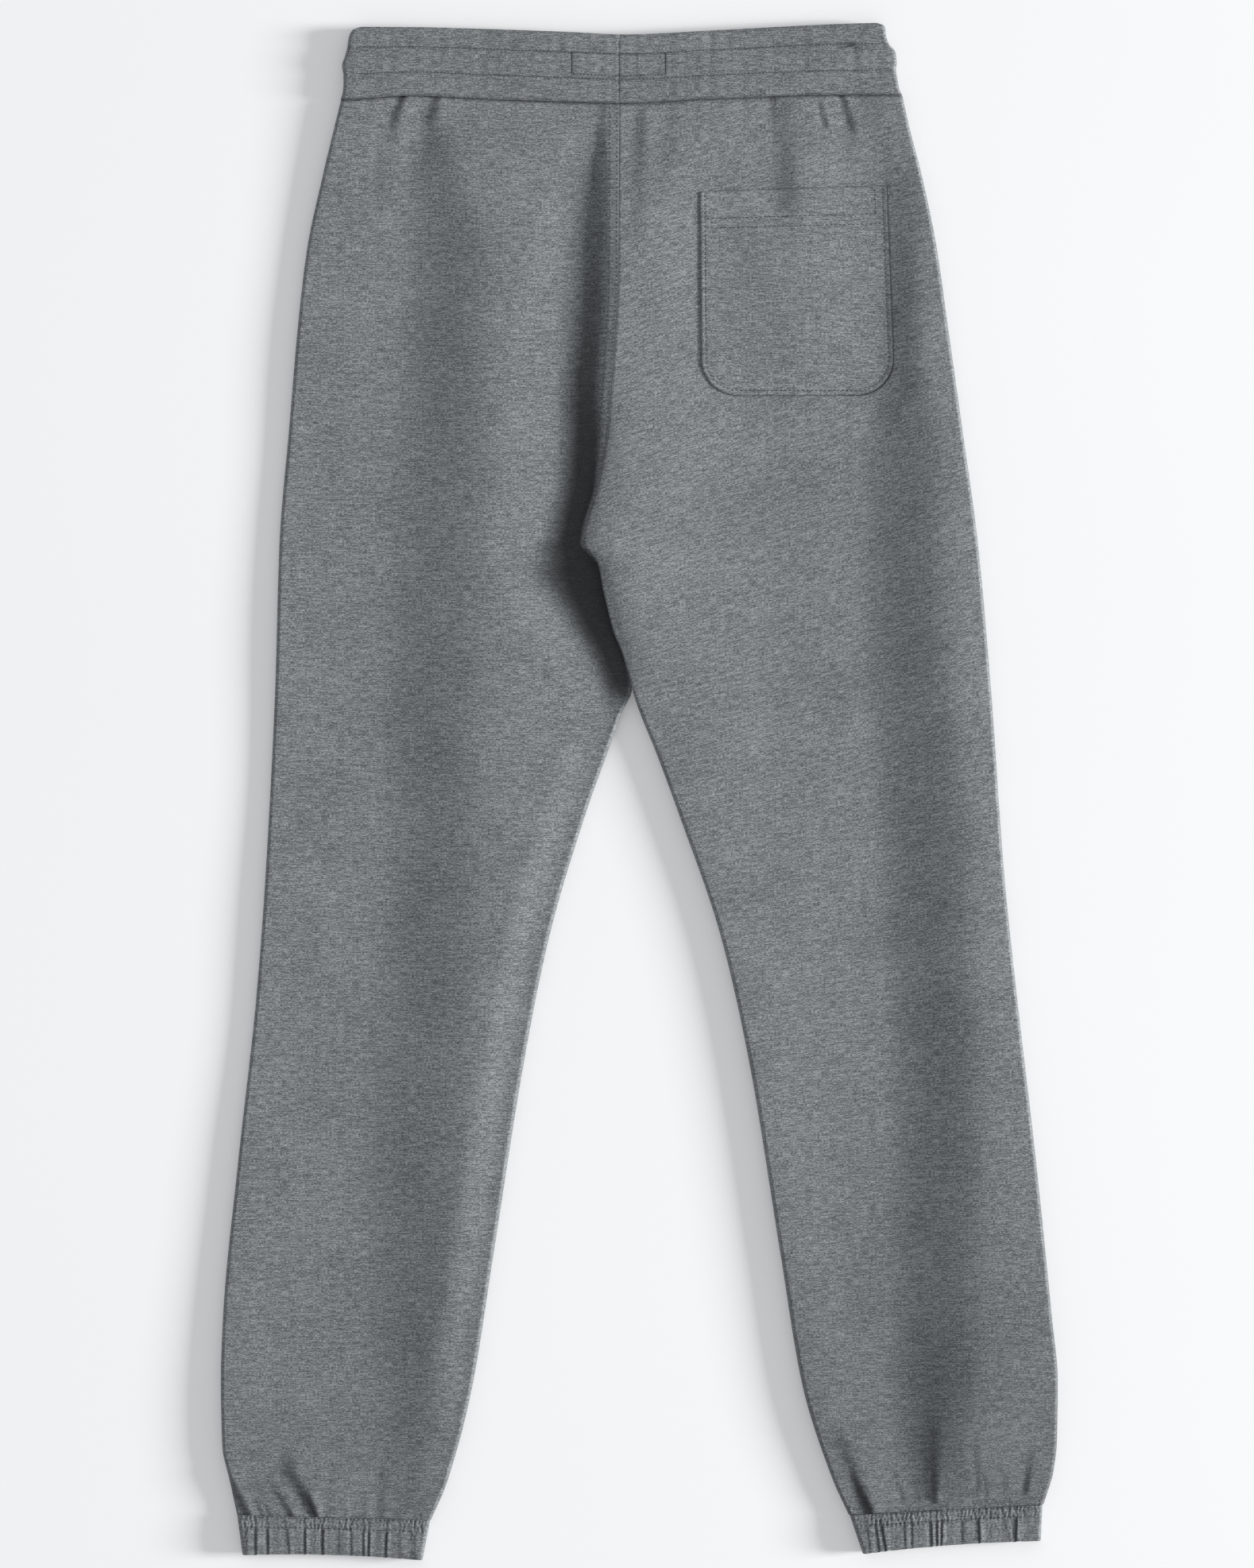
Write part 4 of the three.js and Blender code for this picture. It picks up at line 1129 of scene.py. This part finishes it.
def cuff_y(side, share, down):
    """y at a share across a cuff: its seam and its hem slant, and the hem's middle rises."""
    top, hem = CUFFS[side]["top"], CUFFS[side]["hem"]
    level = mix(mix(top[1], top[3], share) - SEAM_GAP / 2, mix(hem[1], hem[3], share), down)
    return level + CUFFS[side]["bow"] * down * arch(share)


def cuff_tube(side):
    """A cuff: a flattened tube of cloth, its section carried from the ankle seam to the hem."""
    down = spread(CUFF_ROWS)
    left, right = cuff_sides(side, down)
    over = across_stations(left, right, 1, 1, COLUMNS["cuff"], TUBE_FOLD_STEPS, near_steps=3)
    x, shift, turn, upper = tube_stations(left, right, over)
    fall = np.broadcast_to(down[:, None], x.shape)
    level, wall = cloth_size("cuff_level"), cloth_size("cuff_thickness")
    top, shade = cuff_relief(side, x, fall)
    y = cuff_y(side, (x - left[:, None]) / (right - left)[:, None], fall)
    at_hem = bell((1 - fall) * CUFF_DEPTH, HEM_REACH)
    y = y + upper * HEM_WAVE * (top - level) * at_hem * (1 - turn)
    face = np.where(upper, top, 0.0)
    back = np.where(upper, level - wall - CUFF_INNER_DROP, wall)
    outer, inner, along = folded_faces(x, y, face, back, CUFF_FOLD_HEIGHT, wall, shift, turn)
    shade = shade * upper * (1 - turn)
    return wall_object("cuff_tube_" + side, outer, inner, points_of(along, y), shade, closed=True)


def pocket_sides(depth):
    """x of the pocket's left and right side at a depth below its top edge, its rounding left out."""
    share = depth / POCKET_DEPTH
    return mix(POCKET_TOP[0], POCKET_FOOT[0], share), mix(POCKET_TOP[1], POCKET_FOOT[1], share)


def pocket_rise(x):
    """How far the pocket's top edge, which slants up to the right, has risen at x."""
    return POCKET_TILT * (x - POCKET_TOP[0]) / (POCKET_TOP[1] - POCKET_TOP[0])


def pocket_below(x, depth):
    """Distance below the waist seam at a depth in the pocket, whose foot is level."""
    return POCKET_BELOW + depth - pocket_rise(x) * (1 - depth / POCKET_DEPTH)


def pocket_depth(x, below):
    """The other way round: depth in the pocket at a distance below the waist seam."""
    rise = pocket_rise(x)
    return (below - POCKET_BELOW + rise) / (1 + rise / POCKET_DEPTH)


def pocket_edge_distance(x, depth):
    """Distance in from the pocket's sewn sides and rounded foot."""
    left, right = pocket_sides(np.minimum(depth, POCKET_LEVEL))
    sideways = np.maximum(left + POCKET_RADIUS - x, x - right + POCKET_RADIUS)
    return POCKET_RADIUS - np.hypot(np.maximum(sideways, 0), np.maximum(depth - POCKET_LEVEL, 0))


def pocket_height(x, depth):
    """Height of the pocket's face: the leg under it, one more cloth and a slight fullness in its middle,
    drawn down along its sewing and its edges. Also gives the height of its underside."""
    under = cloth_top(x, pocket_below(x, depth), "right") + POCKET_GAP
    inside = pocket_edge_distance(x, depth)
    height = under + POCKET_THICK + POCKET_FULLNESS * ease(*POCKET_FULL, inside)
    height = height - drawn("pocket sewing", inside - POCKET_SEWN_IN) - drawn("pocket rim", inside)
    height = height - sum(drawn("pocket hem row", depth - row) for row in POCKET_HEM_ROWS)
    return height - drawn("pocket top", depth), under


def patch_pocket():
    """The patch pocket: the right panel's own surface inside the pocket's outline, moved out."""
    corner = POCKET_RADIUS * np.sin(np.linspace(0, math.pi / 2, CORNER_POINTS))
    depth = np.concatenate([spread(POCKET_ROWS)[:-1], POCKET_LEVEL + corner])[:, None]
    into_corner = np.maximum(depth - POCKET_LEVEL, 0)
    inset = POCKET_RADIUS - np.sqrt(np.maximum(POCKET_RADIUS**2 - into_corner**2, 0))
    left, right = pocket_sides(depth)
    left, right = left + inset, right - inset
    middle = mix(left + POCKET_MIDDLE, right - POCKET_MIDDLE, np.linspace(0, 1, COLUMNS["pocket"]))
    x = np.hstack([left + POCKET_NEAR, middle, right - POCKET_NEAR[::-1]])
    fall = np.broadcast_to(depth, x.shape)
    top, under = pocket_height(x, fall)
    y = WAIST_SEAM - pocket_below(x, fall)
    inside = pocket_edge_distance(x, fall)
    # Painted shade along the pocket's sewing, rim, hem rows and top edge
    shade = dark("pocket sewing", inside - POCKET_SEWN_IN) + dark("pocket rim", inside)
    shade = shade + sum(dark("pocket hem row", fall - row) for row in POCKET_HEM_ROWS)
    shade = shade + dark("pocket top", fall)
    shade = shade + ease(*RIGHT_RIM, x) * dark("right pocket rim", inside - RIGHT_RIM_IN)
    return wall_object("patch_pocket", points_of(x, y, top), points_of(x, y, under), points_of(x, y), shade)


def stitch_row(points, pitch=STITCH_PITCH):
    """Places along a path of points, a pitch apart, and the path's direction at each."""
    steps = np.linalg.norm(np.diff(points, axis=0), axis=1)
    run = np.concatenate([[0], np.cumsum(steps)])
    places = np.arange(pitch / 2, run[-1], pitch)

    def at(place):
        return points_of(*(np.interp(place, run, part) for part in points.T))

    direction = at(places + STITCH_AHEAD) - at(places - STITCH_AHEAD)
    return at(places), direction / np.linalg.norm(direction, axis=1, keepdims=True)


def stitches(name, rows):
    """One mesh of many stitches. Each is a small closed spindle: rings round its length whose radius
    follows a half ellipse, half sunk into the cloth."""
    centre = np.vstack([row[0] for row in rows])
    ahead = np.vstack([row[1] for row in rows])
    sideways = np.cross((0.0, 0.0, 1.0), ahead)
    sideways /= np.linalg.norm(sideways, axis=1, keepdims=True)
    upwards = np.cross(ahead, sideways)
    share = np.linspace(-STITCH_ENDS, STITCH_ENDS, STITCH_RINGS)
    angle = np.linspace(0, 2 * math.pi, STITCH_SIDES, endpoint=False)
    radius = np.sqrt(1 - share**2)
    rings = points_of(
        np.repeat(share * STITCH_LENGTH / 2, STITCH_SIDES),
        np.outer(radius, np.cos(angle)).ravel() * STITCH_WIDTH / 2,
        np.outer(radius, np.sin(angle)).ravel() * STITCH_HEIGHT / 2,
    )
    tips = np.array([[-STITCH_LENGTH / 2, 0, 0], [STITCH_LENGTH / 2, 0, 0]])
    shape = np.vstack([rings, tips])
    axes = np.stack([ahead, sideways, upwards], axis=1)
    points = (centre[:, None] + np.einsum("pi,nij->npj", shape, axes)).reshape(-1, 3)
    number = np.arange(len(rings)).reshape(STITCH_RINGS, STITCH_SIDES)
    number = np.hstack([number, number[:, :1]])
    first_tip = len(rings)
    caps = [(first_tip, number[0, i + 1], number[0, i]) for i in range(STITCH_SIDES)]
    caps += [(first_tip + 1, number[-1, i], number[-1, i + 1]) for i in range(STITCH_SIDES)]
    start = np.arange(len(centre))[:, None, None] * len(shape)
    quads = (grid_quads(number)[None] + start).reshape(-1, 4)
    triangles = (np.array(caps)[None] + start).reshape(-1, 3)
    mesh = bpy.data.meshes.new(name)
    mesh.from_pydata(points * MM, [], quads.tolist() + triangles.tolist())
    mesh.update()
    piece = link_piece(name, mesh)
    piece.data.materials.append(shared_material("sewing_thread", thread_material))
    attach(piece, "root")


def seat_stitches():
    """Two rows down the seat seam: one beside the seam and one a seam allowance to its left."""
    below = np.linspace(*SEAT_SEWN, PATH_POINTS["seat"])
    rows = []
    for away in (FIRST_ROW, SECOND_ROW):
        x = look_up(MIDDLE, "left", below) - away
        z = cloth_top(x, below, "left") - seam_rolls(below, away, 0.0) + STITCH_PROUD["seat"]
        rows.append(stitch_row(points_of(x, leg_y(x, below, "left", True), z)))
    stitches("seat_stitches", rows)


def pocket_stitches():
    """A row round the pocket's sewn edge, two along its hem and a narrow bar at its upper right corner."""
    turn = np.linspace(0, math.pi / 2, CORNER_POINTS)
    radius = POCKET_RADIUS - POCKET_SEWN_IN
    down = np.linspace(POCKET_SEWN_FROM, POCKET_LEVEL, PATH_POINTS["pocket"])
    left, right = pocket_sides(down)
    left, right = left + POCKET_SEWN_IN, right - POCKET_SEWN_IN
    corner_left = left[-1] + radius - radius * np.cos(turn)
    corner_right = right[-1] - radius + radius * np.cos(turn)
    corner_down = POCKET_LEVEL + radius * np.sin(turn)
    edge_x = np.concatenate([left, corner_left, corner_right[::-1], right[::-1]])
    edge_down = np.concatenate([down, corner_down, corner_down[::-1], down[::-1]])
    paths = [(edge_x, edge_down)]
    across = np.linspace(POCKET_TOP[0] + POCKET_HEM_IN, POCKET_TOP[1] - POCKET_HEM_IN, PATH_POINTS["hem"])
    paths += [(across, row) for row in POCKET_HEM_ROWS]
    bar_in, bar_end = POCKET_BAR
    bar = np.linspace(POCKET_SEWN_FROM, bar_end, PATH_POINTS["bar"])
    paths.append((POCKET_TOP[1] - bar_in + BAR_LEAN * bar, bar))
    rows = []
    for x, depth in paths:
        z = pocket_height(x, depth)[0] + STITCH_PROUD["pocket"]
        rows.append(stitch_row(points_of(x, WAIST_SEAM - pocket_below(x, depth), z)))
    stitches("pocket_stitches", rows)


def band_path(x, up):
    """Points on the waistband's upper face."""
    seam = waist_edge("seam", x, True) + SEAM_GAP / 2
    y = WAIST_SEAM + mix(seam, waist_edge("top", x, True), up)
    return points_of(x, y, band_height(x, up) + STITCH_PROUD["band"])


def band_stitches():
    """Two rows along the waistband and a rectangle across its centre seam."""
    seam_x = MIDDLE["left"][0]
    rows = []
    for up in BAND_ROWS:
        for ends in ((BAND_SEWN[0], seam_x - 1), (seam_x + 1, BAND_SEWN[1])):
            x = np.linspace(*ends, PATH_POINTS["band"])
            rows.append(stitch_row(band_path(x, up), FINE_STITCH_PITCH))
    foot = np.linspace(*RECTANGLE, PATH_POINTS["foot"])
    rows.append(stitch_row(band_path(foot, RECTANGLE_ROWS[0]), FINE_STITCH_PITCH))
    rise = np.linspace(*RECTANGLE_ROWS, PATH_POINTS["side"])
    for side in RECTANGLE:
        rows.append(stitch_row(band_path(side + 0 * rise, rise), BAR_PITCH))
    stitches("waistband_stitches", rows)


def cuff_stitches(side):
    """Two rows along the top of a cuff, between which the cloth is shirred."""
    share = np.linspace(*CUFF_SEWN, PATH_POINTS["cuff"])
    rows = []
    for down in (CUFF_FIRST_ROW, CUFFS[side]["shirred"]):
        x = mix(*cuff_sides(side, down), share)
        z = cuff_relief(side, x, down)[0] + STITCH_PROUD["cuff"]
        rows.append(stitch_row(points_of(x, cuff_y(side, share, down), z)))
    stitches("cuff_stitches_" + side, rows)


def place_light(name, power, size, distance, elevation):
    """A square soft light on the right, aimed at the middle of the garment."""
    data = bpy.data.lights.new(name, "AREA")
    data.energy = power
    data.size = size
    lamp = bpy.data.objects.new(name, data)
    lamp.location = (math.cos(elevation) * distance, 0.0, math.sin(elevation) * distance)
    lamp.rotation_mode = "QUATERNION"
    lamp.rotation_quaternion = lamp.location.to_track_quat("Z", "Y")
    bpy.context.scene.collection.objects.link(lamp)


def make_stage():
    """A pale board, a soft light low on the right, a pale surround and a camera straight above that
    frames the garment as the photograph does."""
    studio = bpy.context.scene.jogger_studio
    scene = bpy.context.scene
    scene.view_settings.view_transform = "Standard"
    scene.view_settings.look = "None"
    mesh = bpy.data.meshes.new("board")
    half = BOARD_HALF
    corners = [(x, y, -BOARD_DROP) for x, y in ((-half, -half), (half, -half), (half, half), (-half, half))]
    mesh.from_pydata(corners, [], [(0, 1, 2, 3)])
    mesh.materials.append(floor_material("pale_board"))
    link_piece("board", mesh)
    place_light("key", studio.key_power, studio.key_size, studio.key_distance, studio.key_elevation)
    world = bpy.data.worlds.new("surround")
    world.use_nodes = True
    background = world.node_tree.nodes["Background"]
    background.inputs["Color"].default_value = SURROUND_COLOUR
    background.inputs["Strength"].default_value = studio.surround
    scene.world = world
    data = bpy.data.cameras.new("camera")
    data.lens = LENS
    data.sensor_width = SENSOR
    camera = bpy.data.objects.new("camera", data)
    camera.location = (studio.view_x, studio.view_y, studio.view_height * LENS / SENSOR)
    scene.collection.objects.link(camera)
    scene.camera = camera


def number_property(label, about, default, unit="LENGTH"):
    """A number for the sidebar, in metres unless it has another unit."""
    return bpy.props.FloatProperty(name=label, description=about, default=default, unit=unit, precision=5)


def colour_property(label, about, default):
    """A colour for the sidebar."""
    return bpy.props.FloatVectorProperty(
        name=label, description=about, default=default, size=3, subtype="COLOR")


class JoggerCloth(bpy.types.PropertyGroup):
    """Thickness, height and fibres of the cloth."""
    thickness: number_property("Jersey", "Thickness of the brushed jersey", 0.0016)
    level: number_property("Level", "Usual height of the upper layer", 0.0085)
    band_thickness: number_property("Waistband wall", "Jersey folded over the elastic", 0.003)
    band_level: number_property("Waistband level", "Height of the waistband at its sewing", 0.0097)
    cuff_thickness: number_property("Cuff wall", "Jersey folded over the elastic", 0.0024)
    cuff_level: number_property("Cuff level", "Height of a cuff between its pleats", 0.0098)
    dark_fibre: colour_property("Dark fibre", "Charcoal fibres of the heather", (0.085, 0.092, 0.096))
    middle_fibre: colour_property("Middle fibre", "Mean grey of the heather", (0.174, 0.186, 0.191))
    light_fibre: colour_property("Light fibre", "Pale fibres of the heather", (0.318, 0.333, 0.338))


class JoggerStudio(bpy.types.PropertyGroup):
    """Light and camera."""
    key_power: number_property("Key", "Power of the light on the right", 2650.0, "POWER")
    key_size: number_property("Key size", "Side of the key light", 2.6)
    key_distance: number_property("Key distance", "From the garment's middle", 12.0)
    key_elevation: number_property("Key elevation", "Above the board", math.radians(14.5), "ROTATION")
    surround: number_property("Surround", "Strength of the pale surround", 0.55, "NONE")
    floor_colour: colour_property("Board", "Colour of the board", (0.77, 0.775, 0.775))
    # Painted light: the board's glow, which lightens the shadows cast on it
    board_painted_glow: number_property("Board glow", "Light that comes through the board", 0.19, "NONE")
    view_height: number_property("View height", "Height of the picture on the board", 1.068)
    view_x: number_property("View x", "Middle of the picture", -0.0076)
    view_y: number_property("View y", "Middle of the picture", 0.0054)


class JOGGERS_OT_stage(bpy.types.Operator):
    """Make the board, the light and the camera"""
    bl_idname = "joggers.stage"
    bl_label = "Stage"

    def execute(self, context):
        make_stage()
        return {"FINISHED"}


class JOGGERS_OT_fronts(bpy.types.Operator):
    """Make the two front panels, which lie underneath"""
    bl_idname = "joggers.fronts"
    bl_label = "Front panels"

    def execute(self, context):
        for side in LEGS:
            dress(front_panel(side), "front_" + side, "leg_jersey")
        return {"FINISHED"}


class JOGGERS_OT_backs(bpy.types.Operator):
    """Make the two back panels, which lie on top"""
    bl_idname = "joggers.backs"
    bl_label = "Back panels"

    def execute(self, context):
        for side in LEGS:
            dress(back_panel(side), "back_" + side, "leg_jersey")
        return {"FINISHED"}


class JOGGERS_OT_waistband(bpy.types.Operator):
    """Make the waistband"""
    bl_idname = "joggers.waistband"
    bl_label = "Waistband"

    def execute(self, context):
        dress(waistband(), "waistband", "waistband_jersey")
        return {"FINISHED"}


class JOGGERS_OT_cuffs(bpy.types.Operator):
    """Make the two gathered cuffs"""
    bl_idname = "joggers.cuffs"
    bl_label = "Cuffs"

    def execute(self, context):
        for side in LEGS:
            dress(cuff_tube(side), "cuff_" + side, "cuff_jersey")
        return {"FINISHED"}


class JOGGERS_OT_pocket(bpy.types.Operator):
    """Make the patch pocket"""
    bl_idname = "joggers.pocket"
    bl_label = "Pocket"

    def execute(self, context):
        dress(patch_pocket(), "back_pocket", "pocket_jersey")
        return {"FINISHED"}


class JOGGERS_OT_sewing(bpy.types.Operator):
    """Sew the seat, the pocket, the waistband and the cuffs"""
    bl_idname = "joggers.sewing"
    bl_label = "Sewing"

    def execute(self, context):
        seat_stitches()
        pocket_stitches()
        band_stitches()
        for side in LEGS:
            cuff_stitches(side)
        return {"FINISHED"}


class JOGGERS_PT_sidebar(bpy.types.Panel):
    """Lists the sizes, the colours and the pieces"""
    bl_idname = "JOGGERS_PT_sidebar"
    bl_label = "Jogger sweatpants"
    bl_space_type = "VIEW_3D"
    bl_region_type = "UI"
    bl_category = "Joggers"

    def draw(self, context):
        for group in (context.scene.jogger_cloth, context.scene.jogger_studio):
            box = self.layout.box()
            for name in group.bl_rna.properties.keys():
                if name not in ("rna_type", "name"):
                    box.prop(group, name)
        for operator in OPERATORS:
            self.layout.operator(operator.bl_idname)


OPERATORS = (
    JOGGERS_OT_stage,
    JOGGERS_OT_fronts,
    JOGGERS_OT_backs,
    JOGGERS_OT_waistband,
    JOGGERS_OT_cuffs,
    JOGGERS_OT_pocket,
    JOGGERS_OT_sewing,
)
CLASSES = (JoggerCloth, JoggerStudio, *OPERATORS, JOGGERS_PT_sidebar)


def register():
    for each in CLASSES:
        bpy.utils.register_class(each)
    bpy.types.Scene.jogger_cloth = bpy.props.PointerProperty(type=JoggerCloth)
    bpy.types.Scene.jogger_studio = bpy.props.PointerProperty(type=JoggerStudio)


def unregister():
    del bpy.types.Scene.jogger_studio
    del bpy.types.Scene.jogger_cloth
    for each in reversed(CLASSES):
        bpy.utils.unregister_class(each)


def main():
    """Builds every piece."""
    register()
    bpy.ops.joggers.stage()
    bpy.ops.joggers.fronts()
    bpy.ops.joggers.backs()
    bpy.ops.joggers.waistband()
    bpy.ops.joggers.cuffs()
    bpy.ops.joggers.pocket()
    bpy.ops.joggers.sewing()


if __name__ == "__main__":
    main()
